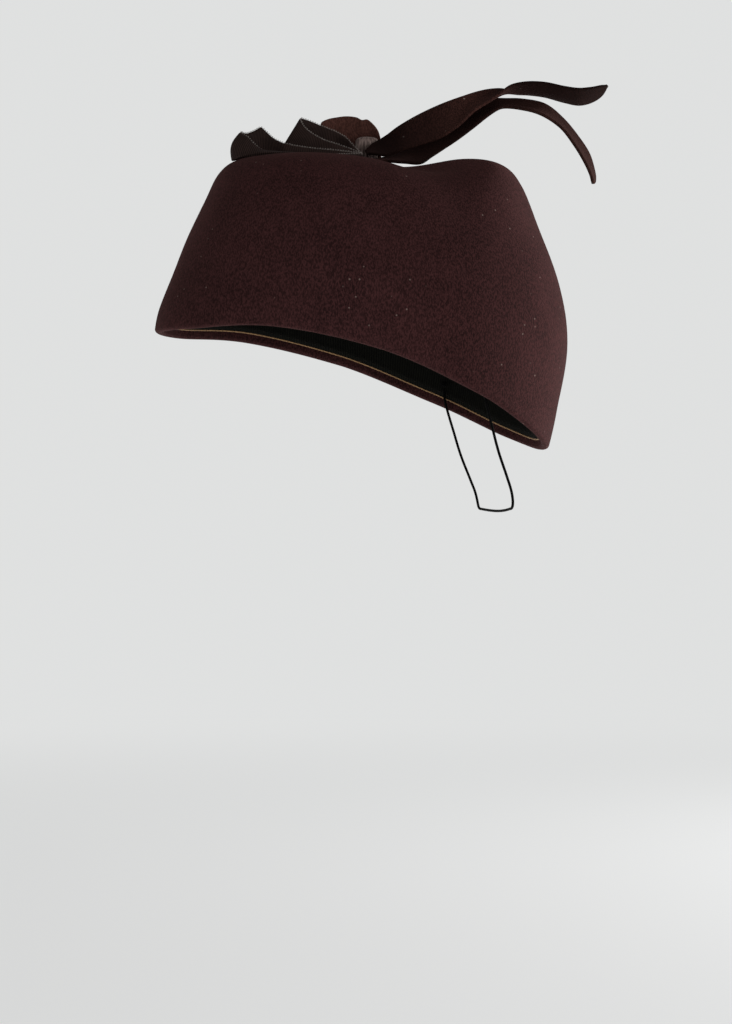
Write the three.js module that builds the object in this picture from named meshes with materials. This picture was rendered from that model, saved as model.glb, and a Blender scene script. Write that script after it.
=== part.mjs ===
// Felt hat: a tall blocked toque with a turned-under edge, a grosgrain sweatband, a trim of
// ribbon loops and felt tails on top, and a thin elastic that holds it at the nape.
// Millimetres, +Z up, brow towards -Y, wearer's left towards +X.
// The origin is the middle of the head opening.
import * as THREE from "three";
import { mergeVertices } from "three/addons/utils/BufferGeometryUtils.js";

// Crown: reaches from the middle of the head opening, height of the top above it, felt thickness
const browReach = 107;
const napeReach = 107.5;
const halfWidth = 81;
const crownHeight = 122;
const middleHeight = 119;
const feltWall = 2.2;

// Turned-under edge and the sweatband inside it
const hemHeight = 9;
const edgeRounding = 1.6;
const bandHeight = 25;
const bandThickness = 1;
const bandSetback = 5;

// Air between pieces that touch on the real hat
const clearance = 0.3;

// Trim
const knotAlong = -0.6;
const wrapLength = 13.4;
const wrapDepth = 7.6;
const wrapHeight = 14.8;
const wrapSetback = 7.5;
const wrapAlong = 4.5;
const wrapFolds = 6;
const wrapFoldDepth = 0.05;
const ribbonThickness = 1;
const trimFeltThickness = 2;
const frontLoopReach = 69;
const middleLoopReach = 42;
const ribbonWidth = 18;
const feltLoopReach = 24;
const feltLoopHeight = 27;
const upperTailReach = 128;
const upperTailRise = 44;
const lowerTailReach = 121;
const lowerTailRise = 34;
const tailWidth = 20;
const tailCup = 1.5;

// Elastic at the nape
const elasticDiameter = 1.4;
const elasticSides = 8;
const elasticSteps = 76;
const knotDiameter = 4;

// Fineness of the meshes
const turnSteps = 48;
const wallSteps = 18;
const stripSteps = 24;
const stripWidthSteps = 4;
const wrapSteps = 24;

// Felt edge and top ridge round the crown, turned from the brow to the nape. Heights are shares
// of crownHeight, from the middle of the head opening.
const ringLines = [
  { turn: 0, edge: 0.242, ridge: 0.99 },
  { turn: 30, edge: 0.235, ridge: 0.985 },
  { turn: 60, edge: 0.23, ridge: 0.979 },
  { turn: 90, edge: 0.133, ridge: 0.96 },
  { turn: 120, edge: -0.035, ridge: 0.922 },
  { turn: 150, edge: -0.194, ridge: 0.986 },
  { turn: 180, edge: -0.258, ridge: 0.978 },
];

// Level sections of the crown from the felt edge to the middle of the top. The rise is the share
// of the height from edge to ridge, brow, nape and side are shares of the three reaches, square
// is the exponent of the outline (2 is an ellipse), and sink is the share of the way from the
// ridge's height to the middle's.
const sections = [
  { rise: 0.0, brow: 1.015, nape: 0.915, side: 0.975, square: 2.05, sink: 0 },
  { rise: 0.13, brow: 0.992, nape: 0.957, side: 0.995, square: 2.1, sink: 0 },
  { rise: 0.35, brow: 0.918, nape: 1.01, side: 1.0, square: 2.15, sink: 0 },
  { rise: 0.56, brow: 0.847, nape: 0.972, side: 0.95, square: 2.2, sink: 0 },
  { rise: 0.76, brow: 0.765, nape: 0.872, side: 0.86, square: 2.25, sink: 0 },
  { rise: 0.91, brow: 0.7, nape: 0.789, side: 0.74, square: 2.25, sink: 0 },
  { rise: 0.98, brow: 0.615, nape: 0.7, side: 0.61, square: 2.2, sink: 0 },
  { rise: 1.0, brow: 0.46, nape: 0.54, side: 0.47, square: 2.1, sink: 0 },
  { rise: 1.0, brow: 0.25, nape: 0.28, side: 0.25, square: 2.0, sink: 0.75 },
  { rise: 1.0, brow: 0.0, nape: 0.0, side: 0.0, square: 2.0, sink: 1 },
];

// Soft hollows in the felt, each on both sides: where they lie (turn, and section number from
// the edge), how far they spread, and their depth as a share of halfWidth
const hollows = [
  { turn: 112, section: 5.4, turnSpread: 20, sectionSpread: 1.9, depth: 0.035 },
  { turn: 150, section: 4.2, turnSpread: 16, sectionSpread: 1.6, depth: 0.02 },
  { turn: 180, section: 8.1, turnSpread: 75, sectionSpread: 0.75, depth: 0.045 },
];

// Ribbon loops, from the knot along the near side to the fold in front and back along the far
// side. The foot stands on the crown and the top is the free edge. Along is a share of the
// loop's reach, side, up and bulge are shares of ribbonWidth. The bulge rounds the ribbon
// outwards between its edges.
const frontLoopRows = [
  { footAlong: 0, footSide: 0.26, footUp: 0.03, topAlong: 0, topSide: 0.26, topUp: 0.25, bulge: 0 },
  { footAlong: 0.075, footSide: 0.33, footUp: 0.05, topAlong: 0.075, topSide: 0.3, topUp: 0.215, bulge: 0 },
  { footAlong: 0.21, footSide: 0.6, footUp: 0.05, topAlong: 0.21, topSide: 0.44, topUp: 0.17, bulge: 0 },
  { footAlong: 0.375, footSide: 0.88, footUp: 0.05, topAlong: 0.365, topSide: 0.53, topUp: 0.145, bulge: 0 },
  { footAlong: 0.53, footSide: 1.02, footUp: 0.05, topAlong: 0.515, topSide: 0.56, topUp: 0.13, bulge: 0 },
  { footAlong: 0.66, footSide: 1.0, footUp: 0.05, topAlong: 0.66, topSide: 0.56, topUp: 0.12, bulge: 0 },
  { footAlong: 0.775, footSide: 0.92, footUp: 0.05, topAlong: 0.76, topSide: 0.53, topUp: 0.18, bulge: 0 },
  { footAlong: 0.875, footSide: 0.75, footUp: 0.04, topAlong: 0.825, topSide: 0.47, topUp: 0.37, bulge: 0.04 },
  { footAlong: 0.945, footSide: 0.53, footUp: 0.03, topAlong: 0.87, topSide: 0.39, topUp: 0.59, bulge: 0.1 },
  { footAlong: 0.98, footSide: 0.25, footUp: 0.03, topAlong: 0.915, topSide: 0.23, topUp: 0.74, bulge: 0.14 },
  { footAlong: 0.97, footSide: 0, footUp: 0.03, topAlong: 0.91, topSide: 0, topUp: 0.79, bulge: 0.12 },
  { footAlong: 0.905, footSide: -0.17, footUp: 0.03, topAlong: 0.86, topSide: -0.22, topUp: 0.77, bulge: 0.06 },
  { footAlong: 0.82, footSide: -0.25, footUp: 0.03, topAlong: 0.79, topSide: -0.36, topUp: 0.87, bulge: 0 },
  { footAlong: 0.775, footSide: -0.25, footUp: 0.03, topAlong: 0.75, topSide: -0.39, topUp: 0.95, bulge: 0 },
  { footAlong: 0.725, footSide: -0.21, footUp: 0.03, topAlong: 0.72, topSide: -0.36, topUp: 0.85, bulge: 0 },
  { footAlong: 0.65, footSide: -0.1, footUp: 0.03, topAlong: 0.665, topSide: -0.24, topUp: 0.63, bulge: 0 },
  { footAlong: 0.555, footSide: 0.06, footUp: 0.03, topAlong: 0.58, topSide: -0.03, topUp: 0.455, bulge: 0 },
  { footAlong: 0.39, footSide: 0.17, footUp: 0.03, topAlong: 0.39, topSide: 0.11, topUp: 0.36, bulge: 0 },
  { footAlong: 0.2, footSide: 0.17, footUp: 0.03, topAlong: 0.2, topSide: 0.16, topUp: 0.32, bulge: 0 },
  { footAlong: 0.07, footSide: 0.18, footUp: 0.03, topAlong: 0.07, topSide: 0.18, topUp: 0.28, bulge: 0 },
  { footAlong: 0, footSide: 0.19, footUp: 0.03, topAlong: 0, topSide: 0.19, topUp: 0.275, bulge: 0 },
];
const middleLoopRows = [
  { footAlong: 0, footSide: 0.105, footUp: 0.03, topAlong: 0, topSide: 0.105, topUp: 0.28, bulge: 0 },
  { footAlong: 0.11, footSide: 0.09, footUp: 0.03, topAlong: 0.135, topSide: 0.08, topUp: 0.385, bulge: 0 },
  { footAlong: 0.285, footSide: 0.06, footUp: 0.03, topAlong: 0.3, topSide: 0.04, topUp: 0.515, bulge: 0 },
  { footAlong: 0.485, footSide: 0, footUp: 0.03, topAlong: 0.45, topSide: -0.03, topUp: 0.625, bulge: 0 },
  { footAlong: 0.68, footSide: -0.09, footUp: 0.03, topAlong: 0.6, topSide: -0.12, topUp: 0.82, bulge: 0 },
  { footAlong: 0.9, footSide: -0.2, footUp: 0.03, topAlong: 0.69, topSide: -0.22, topUp: 0.995, bulge: 0 },
  { footAlong: 1.02, footSide: -0.33, footUp: 0.03, topAlong: 0.73, topSide: -0.31, topUp: 1.17, bulge: 0 },
  { footAlong: 1.045, footSide: -0.46, footUp: 0.03, topAlong: 0.73, topSide: -0.41, topUp: 1.28, bulge: 0 },
  { footAlong: 0.97, footSide: -0.57, footUp: 0.03, topAlong: 0.69, topSide: -0.5, topUp: 1.285, bulge: 0 },
  { footAlong: 0.76, footSide: -0.64, footUp: 0.03, topAlong: 0.58, topSide: -0.57, topUp: 1.23, bulge: 0 },
  { footAlong: 0.53, footSide: -0.58, footUp: 0.03, topAlong: 0.45, topSide: -0.54, topUp: 1.11, bulge: 0 },
  { footAlong: 0.335, footSide: -0.42, footUp: 0.03, topAlong: 0.3, topSide: -0.44, topUp: 0.965, bulge: 0 },
  { footAlong: 0.185, footSide: -0.2, footUp: 0.03, topAlong: 0.18, topSide: -0.25, topUp: 0.775, bulge: 0 },
  { footAlong: 0.08, footSide: -0.02, footUp: 0.03, topAlong: 0.09, topSide: -0.04, topUp: 0.51, bulge: 0 },
  { footAlong: 0, footSide: 0.03, footUp: 0.03, topAlong: 0, topSide: 0.03, topUp: 0.285, bulge: 0 },
];

// Wide felt loop behind the ribbons. Along is a share of feltLoopReach towards the brow, side,
// up and bulge are shares of feltLoopHeight.
const feltLoopRows = [
  { footAlong: 0.18, footSide: -0.32, footUp: 0.02, topAlong: 0.18, topSide: -0.32, topUp: 0.4, bulge: 0 },
  { footAlong: 0.39, footSide: -0.39, footUp: 0.02, topAlong: 0.365, topSide: -0.4, topUp: 0.535, bulge: 0 },
  { footAlong: 0.6, footSide: -0.47, footUp: 0.02, topAlong: 0.58, topSide: -0.48, topUp: 0.675, bulge: 0 },
  { footAlong: 0.77, footSide: -0.56, footUp: 0.02, topAlong: 0.735, topSide: -0.56, topUp: 0.81, bulge: 0 },
  { footAlong: 0.8, footSide: -0.64, footUp: 0.02, topAlong: 0.74, topSide: -0.64, topUp: 0.875, bulge: 0 },
  { footAlong: 0.68, footSide: -0.71, footUp: 0.02, topAlong: 0.62, topSide: -0.7, topUp: 0.94, bulge: 0 },
  { footAlong: 0.43, footSide: -0.76, footUp: 0.02, topAlong: 0.425, topSide: -0.77, topUp: 1.0, bulge: 0 },
  { footAlong: 0.16, footSide: -0.76, footUp: 0.02, topAlong: 0.175, topSide: -0.79, topUp: 1.05, bulge: 0 },
  { footAlong: -0.06, footSide: -0.74, footUp: 0.02, topAlong: -0.04, topSide: -0.76, topUp: 1.05, bulge: 0 },
  { footAlong: -0.165, footSide: -0.7, footUp: 0.02, topAlong: -0.145, topSide: -0.71, topUp: 1.01, bulge: 0 },
  { footAlong: -0.275, footSide: -0.67, footUp: 0.02, topAlong: -0.26, topSide: -0.7, topUp: 1.04, bulge: 0 },
  { footAlong: -0.4, footSide: -0.62, footUp: 0.02, topAlong: -0.38, topSide: -0.64, topUp: 0.965, bulge: 0 },
  { footAlong: -0.49, footSide: -0.55, footUp: 0.02, topAlong: -0.465, topSide: -0.56, topUp: 0.84, bulge: 0 },
  { footAlong: -0.52, footSide: -0.48, footUp: 0.02, topAlong: -0.49, topSide: -0.5, topUp: 0.68, bulge: 0 },
  { footAlong: -0.48, footSide: -0.42, footUp: 0.02, topAlong: -0.45, topSide: -0.43, topUp: 0.56, bulge: 0 },
];

// Felt tails, from the knot to the tip. Along is a share of the tail's reach towards the nape,
// up a share of its rise above the knot, side a share of tailWidth.
const upperTailRows = [
  { nearAlong: 0.02, nearSide: 0.24, nearUp: 0.09, farAlong: 0.02, farSide: -0.01, farUp: 0.14 },
  { nearAlong: 0.035, nearSide: 0.28, nearUp: 0.095, farAlong: 0.035, farSide: -0.06, farUp: 0.19 },
  { nearAlong: 0.06, nearSide: 0.32, nearUp: 0.085, farAlong: 0.055, farSide: -0.13, farUp: 0.245 },
  { nearAlong: 0.085, nearSide: 0.33, nearUp: 0.075, farAlong: 0.085, farSide: -0.18, farUp: 0.3 },
  { nearAlong: 0.115, nearSide: 0.31, nearUp: 0.085, farAlong: 0.12, farSide: -0.23, farUp: 0.37 },
  { nearAlong: 0.16, nearSide: 0.28, nearUp: 0.135, farAlong: 0.16, farSide: -0.25, farUp: 0.46 },
  { nearAlong: 0.24, nearSide: 0.26, nearUp: 0.215, farAlong: 0.245, farSide: -0.26, farUp: 0.61 },
  { nearAlong: 0.325, nearSide: 0.27, nearUp: 0.3, farAlong: 0.345, farSide: -0.28, farUp: 0.75 },
  { nearAlong: 0.4, nearSide: 0.3, nearUp: 0.445, farAlong: 0.43, farSide: -0.33, farUp: 0.845 },
  { nearAlong: 0.465, nearSide: 0.35, nearUp: 0.63, farAlong: 0.51, farSide: -0.38, farUp: 0.92 },
  { nearAlong: 0.53, nearSide: 0.39, nearUp: 0.755, farAlong: 0.565, farSide: -0.41, farUp: 0.95 },
  { nearAlong: 0.575, nearSide: 0.41, nearUp: 0.855, farAlong: 0.61, farSide: -0.41, farUp: 0.95 },
  { nearAlong: 0.615, nearSide: 0.4, nearUp: 0.94, farAlong: 0.655, farSide: -0.4, farUp: 0.905 },
  { nearAlong: 0.68, nearSide: 0.4, nearUp: 0.985, farAlong: 0.715, farSide: -0.4, farUp: 0.895 },
  { nearAlong: 0.76, nearSide: 0.39, nearUp: 0.985, farAlong: 0.785, farSide: -0.39, farUp: 0.87 },
  { nearAlong: 0.84, nearSide: 0.37, nearUp: 0.945, farAlong: 0.865, farSide: -0.38, farUp: 0.81 },
  { nearAlong: 0.905, nearSide: 0.33, nearUp: 0.93, farAlong: 0.93, farSide: -0.33, farUp: 0.775 },
  { nearAlong: 0.965, nearSide: 0.25, nearUp: 0.955, farAlong: 0.985, farSide: -0.25, farUp: 0.815 },
  { nearAlong: 1.01, nearSide: 0.12, nearUp: 0.99, farAlong: 1.02, farSide: -0.13, farUp: 0.89 },
  { nearAlong: 1.035, nearSide: 0.03, nearUp: 1.0, farAlong: 1.035, farSide: -0.03, farUp: 0.985 },
];
const lowerTailRows = [
  { nearAlong: 0.01, nearSide: 0.7, nearUp: 0.005, farAlong: 0.015, farSide: 0.02, farUp: 0.045 },
  { nearAlong: 0.04, nearSide: 0.72, nearUp: 0, farAlong: 0.045, farSide: -0.02, farUp: 0.05 },
  { nearAlong: 0.075, nearSide: 0.72, nearUp: -0.01, farAlong: 0.085, farSide: -0.04, farUp: 0.075 },
  { nearAlong: 0.12, nearSide: 0.72, nearUp: -0.02, farAlong: 0.14, farSide: -0.12, farUp: 0.145 },
  { nearAlong: 0.18, nearSide: 0.64, nearUp: -0.03, farAlong: 0.205, farSide: -0.2, farUp: 0.26 },
  { nearAlong: 0.25, nearSide: 0.54, nearUp: -0.03, farAlong: 0.265, farSide: -0.27, farUp: 0.385 },
  { nearAlong: 0.305, nearSide: 0.38, nearUp: 0.095, farAlong: 0.315, farSide: -0.31, farUp: 0.55 },
  { nearAlong: 0.36, nearSide: 0.32, nearUp: 0.225, farAlong: 0.375, farSide: -0.34, farUp: 0.71 },
  { nearAlong: 0.42, nearSide: 0.32, nearUp: 0.37, farAlong: 0.445, farSide: -0.38, farUp: 0.87 },
  { nearAlong: 0.485, nearSide: 0.33, nearUp: 0.55, farAlong: 0.515, farSide: -0.41, farUp: 0.98 },
  { nearAlong: 0.55, nearSide: 0.35, nearUp: 0.74, farAlong: 0.565, farSide: -0.42, farUp: 1.05 },
  { nearAlong: 0.59, nearSide: 0.38, nearUp: 0.84, farAlong: 0.61, farSide: -0.41, farUp: 1.08 },
  { nearAlong: 0.615, nearSide: 0.4, nearUp: 0.875, farAlong: 0.655, farSide: -0.4, farUp: 1.08 },
  { nearAlong: 0.695, nearSide: 0.4, nearUp: 0.86, farAlong: 0.725, farSide: -0.4, farUp: 1.08 },
  { nearAlong: 0.785, nearSide: 0.39, nearUp: 0.78, farAlong: 0.83, farSide: -0.39, farUp: 1.01 },
  { nearAlong: 0.875, nearSide: 0.37, nearUp: 0.585, farAlong: 0.91, farSide: -0.37, farUp: 0.79 },
  { nearAlong: 0.935, nearSide: 0.35, nearUp: 0.325, farAlong: 0.98, farSide: -0.35, farUp: 0.495 },
  { nearAlong: 0.98, nearSide: 0.32, nearUp: 0.075, farAlong: 1.025, farSide: -0.32, farUp: 0.245 },
  { nearAlong: 1.01, nearSide: 0.28, nearUp: -0.13, farAlong: 1.045, farSide: -0.29, farUp: 0.01 },
  { nearAlong: 1.02, nearSide: 0.23, nearUp: -0.235, farAlong: 1.05, farSide: -0.24, farUp: -0.13 },
  { nearAlong: 1.025, nearSide: 0.17, nearUp: -0.27, farAlong: 1.045, farSide: -0.17, farUp: -0.21 },
];

// Soft cloth knot behind the place where ribbons and tails meet, from its foot to its top: rise
// is a share of wrapHeight, spread a share of wrapLength and wrapDepth
const wrapLevels = [
  { rise: 0.0, spread: 0.82 },
  { rise: 0.35, spread: 0.92 },
  { rise: 0.68, spread: 1.0 },
  { rise: 0.86, spread: 0.94 },
  { rise: 0.95, spread: 0.76 },
  { rise: 0.99, spread: 0.42 },
];

// Smooth value between rows of a table: even beyond its first and last row
function rowValue(rows, column, place) {
  const last = rows.length - 1;
  const mirrored = (i) => rows[Math.abs(last - Math.abs(last - i))][column];
  const i = Math.min(Math.floor(place), last - 1);
  const t = place - i;
  const [a, b, c, d] = [mirrored(i - 1), mirrored(i), mirrored(i + 1), mirrored(i + 2)];
  return 0.5 * (2 * b + (c - a) * t + (2 * a - 5 * b + 4 * c - d) * t * t + (3 * b - a - 3 * c + d) * t ** 3);
}

function columnValue(rows, column, place) {
  const last = rows.length - 1;
  const clamped = (i) => rows[Math.min(Math.max(i, 0), last)][column];
  const i = Math.min(Math.floor(place), last - 1);
  const t = place - i;
  const [a, b, c, d] = [clamped(i - 1), clamped(i), clamped(i + 1), clamped(i + 2)];
  return 0.5 * (2 * b + (c - a) * t + (2 * a - 5 * b + 4 * c - d) * t * t + (3 * b - a - 3 * c + d) * t ** 3);
}

// Height of the felt edge or the ridge at a turn from the brow, in radians
function lineHeight(column, turn) {
  const degrees = THREE.MathUtils.radToDeg(Math.acos(Math.cos(turn)));
  const stationGap = ringLines[1].turn;
  return crownHeight * rowValue(ringLines, column, degrees / stationGap);
}

// Point on the crown's outer face before the hollows
function blockedPoint(turn, place) {
  const section = (column) => columnValue(sections, column, place);
  const lengthwise = Math.cos(turn);
  const sideways = Math.sin(turn);
  const power = section("square");
  const outline = (Math.abs(lengthwise) ** power + Math.abs(sideways) ** power) ** (-1 / power);
  const reach = lengthwise > 0 ? browReach * section("brow") : napeReach * section("nape");
  const edge = lineHeight("edge", turn);
  const level = edge + (lineHeight("ridge", turn) - edge) * section("rise");
  return new THREE.Vector3(
    halfWidth * section("side") * outline * sideways,
    -reach * outline * lengthwise,
    THREE.MathUtils.lerp(level, middleHeight, section("sink")),
  );
}

function outwardAt(surface, turn, place) {
  const step = 0.01;
  const last = sections.length - 1;
  if (place > last - step) return new THREE.Vector3(0, 0, 1);
  const around = surface(turn + step, place).sub(surface(turn - step, place));
  const up = surface(turn, place + step).sub(surface(turn, Math.max(place - step, 0)));
  return around.cross(up).normalize();
}

function hollowDepth(turn, place) {
  const degrees = THREE.MathUtils.radToDeg(Math.acos(Math.cos(turn)));
  let depth = 0;
  for (const hollow of hollows) {
    const across = (degrees - hollow.turn) / hollow.turnSpread;
    const upwards = (place - hollow.section) / hollow.sectionSpread;
    depth += halfWidth * hollow.depth * Math.exp(-across * across - upwards * upwards);
  }
  return depth;
}

function outerPoint(turn, place) {
  const outward = outwardAt(blockedPoint, turn, place);
  return blockedPoint(turn, place).addScaledVector(outward, -hollowDepth(turn, place));
}

// Point at a depth inside the crown's outer face
function feltPoint(turn, place, depth) {
  return outerPoint(turn, place).addScaledVector(outwardAt(outerPoint, turn, place), -depth);
}

// Section place that lies a height in millimetres above the felt edge at a turn
function placeAbove(turn, height) {
  const span = lineHeight("ridge", turn) - lineHeight("edge", turn);
  let low = 0;
  let high = 7;
  for (let halving = 0; halving < 30; halving++) {
    const middle = (low + high) / 2;
    if (span * columnValue(sections, "rise", middle) < height) low = middle;
    else high = middle;
  }
  return low;
}

// Closed mesh from rows of points: every row goes once round, the first and last row are single
// points or join each other
function ringMesh(rows, joined) {
  const positions = [];
  const faces = [];
  const firsts = rows.map((row) => {
    const first = positions.length / 3;
    for (const point of row) positions.push(point.x, point.y, point.z);
    return first;
  });
  const at = (r, i) => firsts[r] + (rows[r].length === 1 ? 0 : i % rows[r].length);
  const bands = joined ? rows.length : rows.length - 1;
  const around = Math.max(...rows.map((row) => row.length));
  for (let r = 0; r < bands; r++) {
    const next = (r + 1) % rows.length;
    for (let i = 0; i < around; i++) {
      const corners = [at(r, i), at(r, i + 1), at(next, i + 1), at(next, i)];
      if (corners[0] !== corners[1]) faces.push(corners[0], corners[1], corners[2]);
      if (corners[2] !== corners[3]) faces.push(corners[0], corners[2], corners[3]);
    }
  }
  return solid(positions, faces);
}

// Geometry with its faces pointing out
function solid(positions, faces) {
  let volume = 0;
  const corner = (i) => new THREE.Vector3().fromArray(positions, 3 * i);
  for (let f = 0; f < faces.length; f += 3) {
    volume += corner(faces[f]).dot(corner(faces[f + 1]).cross(corner(faces[f + 2])));
  }
  if (volume < 0) faces.reverse();
  const geometry = new THREE.BufferGeometry();
  geometry.setAttribute("position", new THREE.Float32BufferAttribute(positions, 3));
  geometry.setIndex(faces);
  geometry.computeVertexNormals();
  return geometry;
}

const turns = Array.from({ length: turnSteps }, (_, i) => (2 * Math.PI * i) / turnSteps);

// The crown: outer face from the middle of the top to the edge, rounded turned-under edge, the
// hem's inner face, and the inner face back to the middle
function crownGeometry() {
  const last = sections.length - 1;
  const hemDepth = 2 * feltWall;
  const ring = (height, depth, drop = 0) => turns.map((turn) => {
    const point = feltPoint(turn, placeAbove(turn, height), depth);
    point.z -= drop;
    return point;
  });
  const rows = [[feltPoint(0, last, 0)]];
  const wallPlace = (step, start) => start + (last - start) * (step / wallSteps);
  for (let step = wallSteps - 1; step >= 1; step--) {
    rows.push(turns.map((turn) => feltPoint(turn, wallPlace(step, placeAbove(turn, edgeRounding)), 0)));
  }
  rows.push(ring(edgeRounding, 0));
  rows.push(ring(0, 0.25 * hemDepth));
  rows.push(ring(0, 0.75 * hemDepth));
  rows.push(ring(edgeRounding, hemDepth));
  rows.push(ring(hemHeight, hemDepth));
  rows.push(ring(hemHeight + 0.5 * feltWall, feltWall));
  for (let step = 2; step < wallSteps; step++) {
    const start = (turn) => placeAbove(turn, edgeRounding);
    rows.push(turns.map((turn) => feltPoint(turn, wallPlace(step, start(turn)), feltWall)));
  }
  rows.push([feltPoint(0, last, feltWall)]);
  return ringMesh(rows, false);
}

// Sweatband: a ribbon ring that lies against the hem
function sweatbandGeometry() {
  const outerDepth = 2 * feltWall + 2 * clearance;
  const innerDepth = outerDepth + bandThickness;
  const levels = [bandSetback, bandSetback + bandHeight / 2, bandSetback + bandHeight];
  const ring = (height, depth) =>
    turns.map((turn) => feltPoint(turn, placeAbove(turn, height), depth));
  const outer = levels.map((height) => ring(height, outerDepth));
  const inner = levels.map((height) => ring(height, innerDepth)).reverse();
  return ringMesh([...outer, ...inner], true);
}

// Solid strip between two smooth edges, evenly thick. Its middle stands off the ruled surface
// between the edges by the bulge at that share of its length.
function stripGeometry(nearPoints, farPoints, thickness, bulgeAt) {
  const near = new THREE.CatmullRomCurve3(nearPoints);
  const far = new THREE.CatmullRomCurve3(farPoints);
  const steps = 2 * stripSteps;
  const widthSteps = stripWidthSteps;
  const ruled = (i, j) => near.getPoint(i / steps).lerp(far.getPoint(i / steps), j / widthSteps);
  const sheet = [];
  for (let i = 0; i <= steps; i++) {
    const across = ruled(i, widthSteps).sub(ruled(i, 0));
    sheet.push(Array.from({ length: widthSteps + 1 }, (_, j) => {
      const along = ruled(Math.min(i + 1, steps), j).sub(ruled(Math.max(i - 1, 0), j));
      const bulge = bulgeAt(i / steps) * Math.sin((Math.PI * j) / widthSteps);
      return ruled(i, j).addScaledVector(along.cross(across).normalize(), -bulge);
    }));
  }
  const positions = [];
  const faces = [];
  for (const side of [0.5, -0.5]) {
    for (let i = 0; i <= steps; i++) {
      for (let j = 0; j <= widthSteps; j++) {
        const along = sheet[Math.min(i + 1, steps)][j].clone().sub(sheet[Math.max(i - 1, 0)][j]);
        const across = sheet[i][Math.min(j + 1, widthSteps)].clone().sub(sheet[i][Math.max(j - 1, 0)]);
        const normal = along.cross(across).normalize();
        positions.push(...sheet[i][j].clone().addScaledVector(normal, side * thickness));
      }
    }
  }
  const layer = (steps + 1) * (widthSteps + 1);
  const at = (i, j) => i * (widthSteps + 1) + j;
  const quad = (a, b, c, d) => faces.push(a, b, c, a, c, d);
  for (let i = 0; i < steps; i++) {
    for (let j = 0; j < widthSteps; j++) {
      quad(at(i, j), at(i + 1, j), at(i + 1, j + 1), at(i, j + 1));
      quad(layer + at(i, j), layer + at(i, j + 1), layer + at(i + 1, j + 1), layer + at(i + 1, j));
    }
    quad(at(i, 0), layer + at(i, 0), layer + at(i + 1, 0), at(i + 1, 0));
    const j = widthSteps;
    quad(at(i, j), at(i + 1, j), layer + at(i + 1, j), layer + at(i, j));
  }
  for (let j = 0; j < widthSteps; j++) {
    quad(at(0, j), at(0, j + 1), layer + at(0, j + 1), layer + at(0, j));
    quad(at(steps, j), layer + at(steps, j), layer + at(steps, j + 1), at(steps, j + 1));
  }
  return solid(positions, faces);
}

const crown = new THREE.Mesh(
  crownGeometry(),
  new THREE.MeshStandardMaterial({ color: 0x2e1a18, roughness: 0.95, metalness: 0 }),
);
crown.name = "crown";

// Height of the crown's top under a point
function crownTop(side, along) {
  const above = new THREE.Vector3(side, along, 2 * crownHeight);
  const ray = new THREE.Raycaster(above, new THREE.Vector3(0, 0, -1));
  return ray.intersectObject(crown)[0].point.z;
}

const knotSeat = crownTop(0, knotAlong);

// Points of one edge of a loop that stands on the crown
function loopEdge(rows, edge, reach, size) {
  return rows.map((row) => {
    const along = knotAlong - row[`${edge}Along`] * reach;
    const side = row[`${edge}Side`] * size;
    const rise = row[`${edge}Up`] * size + clearance;
    return new THREE.Vector3(side, along, crownTop(side, along) + rise);
  });
}

function loopGeometry(rows, reach, size, thickness) {
  const foot = loopEdge(rows, "foot", reach, size);
  const top = loopEdge(rows, "top", reach, size);
  const bulgeAt = (share) => size * columnValue(rows, "bulge", share * (rows.length - 1));
  return stripGeometry(foot, top, thickness, bulgeAt);
}

function tailEdge(rows, edge, reach, rise) {
  return rows.map((row) => new THREE.Vector3(
    row[`${edge}Side`] * tailWidth,
    knotAlong + row[`${edge}Along`] * reach,
    knotSeat + row[`${edge}Up`] * rise,
  ));
}

function tailGeometry(rows, reach, rise) {
  const near = tailEdge(rows, "near", reach, rise);
  const far = tailEdge(rows, "far", reach, rise);
  return stripGeometry(near, far, trimFeltThickness, (share) => tailCup * Math.sin(Math.PI * share));
}

// Soft knot with shallow upright folds, standing on the crown
function wrapGeometry() {
  const middle = knotAlong + wrapAlong;
  const corners = [-0.5, 0.5].flatMap((across) => [-0.5, 0.5].map(
    (lengthwise) => crownTop(-wrapSetback + across * wrapDepth, middle + lengthwise * wrapLength),
  ));
  const floor = Math.max(...corners) + clearance;
  const level = ({ rise, spread }) => Array.from({ length: wrapSteps }, (_, i) => {
    const turn = (2 * Math.PI * i) / wrapSteps;
    const reach = (spread * (1 - wrapFoldDepth + wrapFoldDepth * Math.cos(wrapFolds * turn))) / 2;
    return new THREE.Vector3(
      -wrapSetback + reach * wrapDepth * Math.cos(turn),
      middle + reach * wrapLength * Math.sin(turn),
      floor + rise * wrapHeight,
    );
  });
  const foot = new THREE.Vector3(-wrapSetback, middle, floor);
  const top = new THREE.Vector3(-wrapSetback, middle, floor + wrapHeight);
  return ringMesh([[foot], ...wrapLevels.map(level), [top]], false);
}

// Route of the elastic, from the wearer's left side of the sweatband, down and back to the
// nape, across behind it, and up again on the right. Chosen by eye, wearer's left half.
const elasticRoute = [
  [59.6, 54, 4],
  [59, 54.4, -2],
  [58, 55.6, -8],
  [56.4, 58.6, -19],
  [54.6, 62.6, -33],
  [52.6, 67.4, -46],
  [51.2, 69.9, -53],
  [50.2, 70.9, -57.6],
  [48.6, 71.2, -60.6],
  [45.5, 71.3, -62],
  [38, 71.6, -62.5],
  [20, 72.4, -63.2],
];
const elasticMiddle = [0, 72.7, -63.5];

function elasticCurve() {
  const left = elasticRoute.map(([x, y, z]) => new THREE.Vector3(x, y, z));
  const right = elasticRoute.map(([x, y, z]) => new THREE.Vector3(-x, y, z)).reverse();
  return new THREE.CatmullRomCurve3([...left, new THREE.Vector3(...elasticMiddle), ...right]);
}

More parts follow.
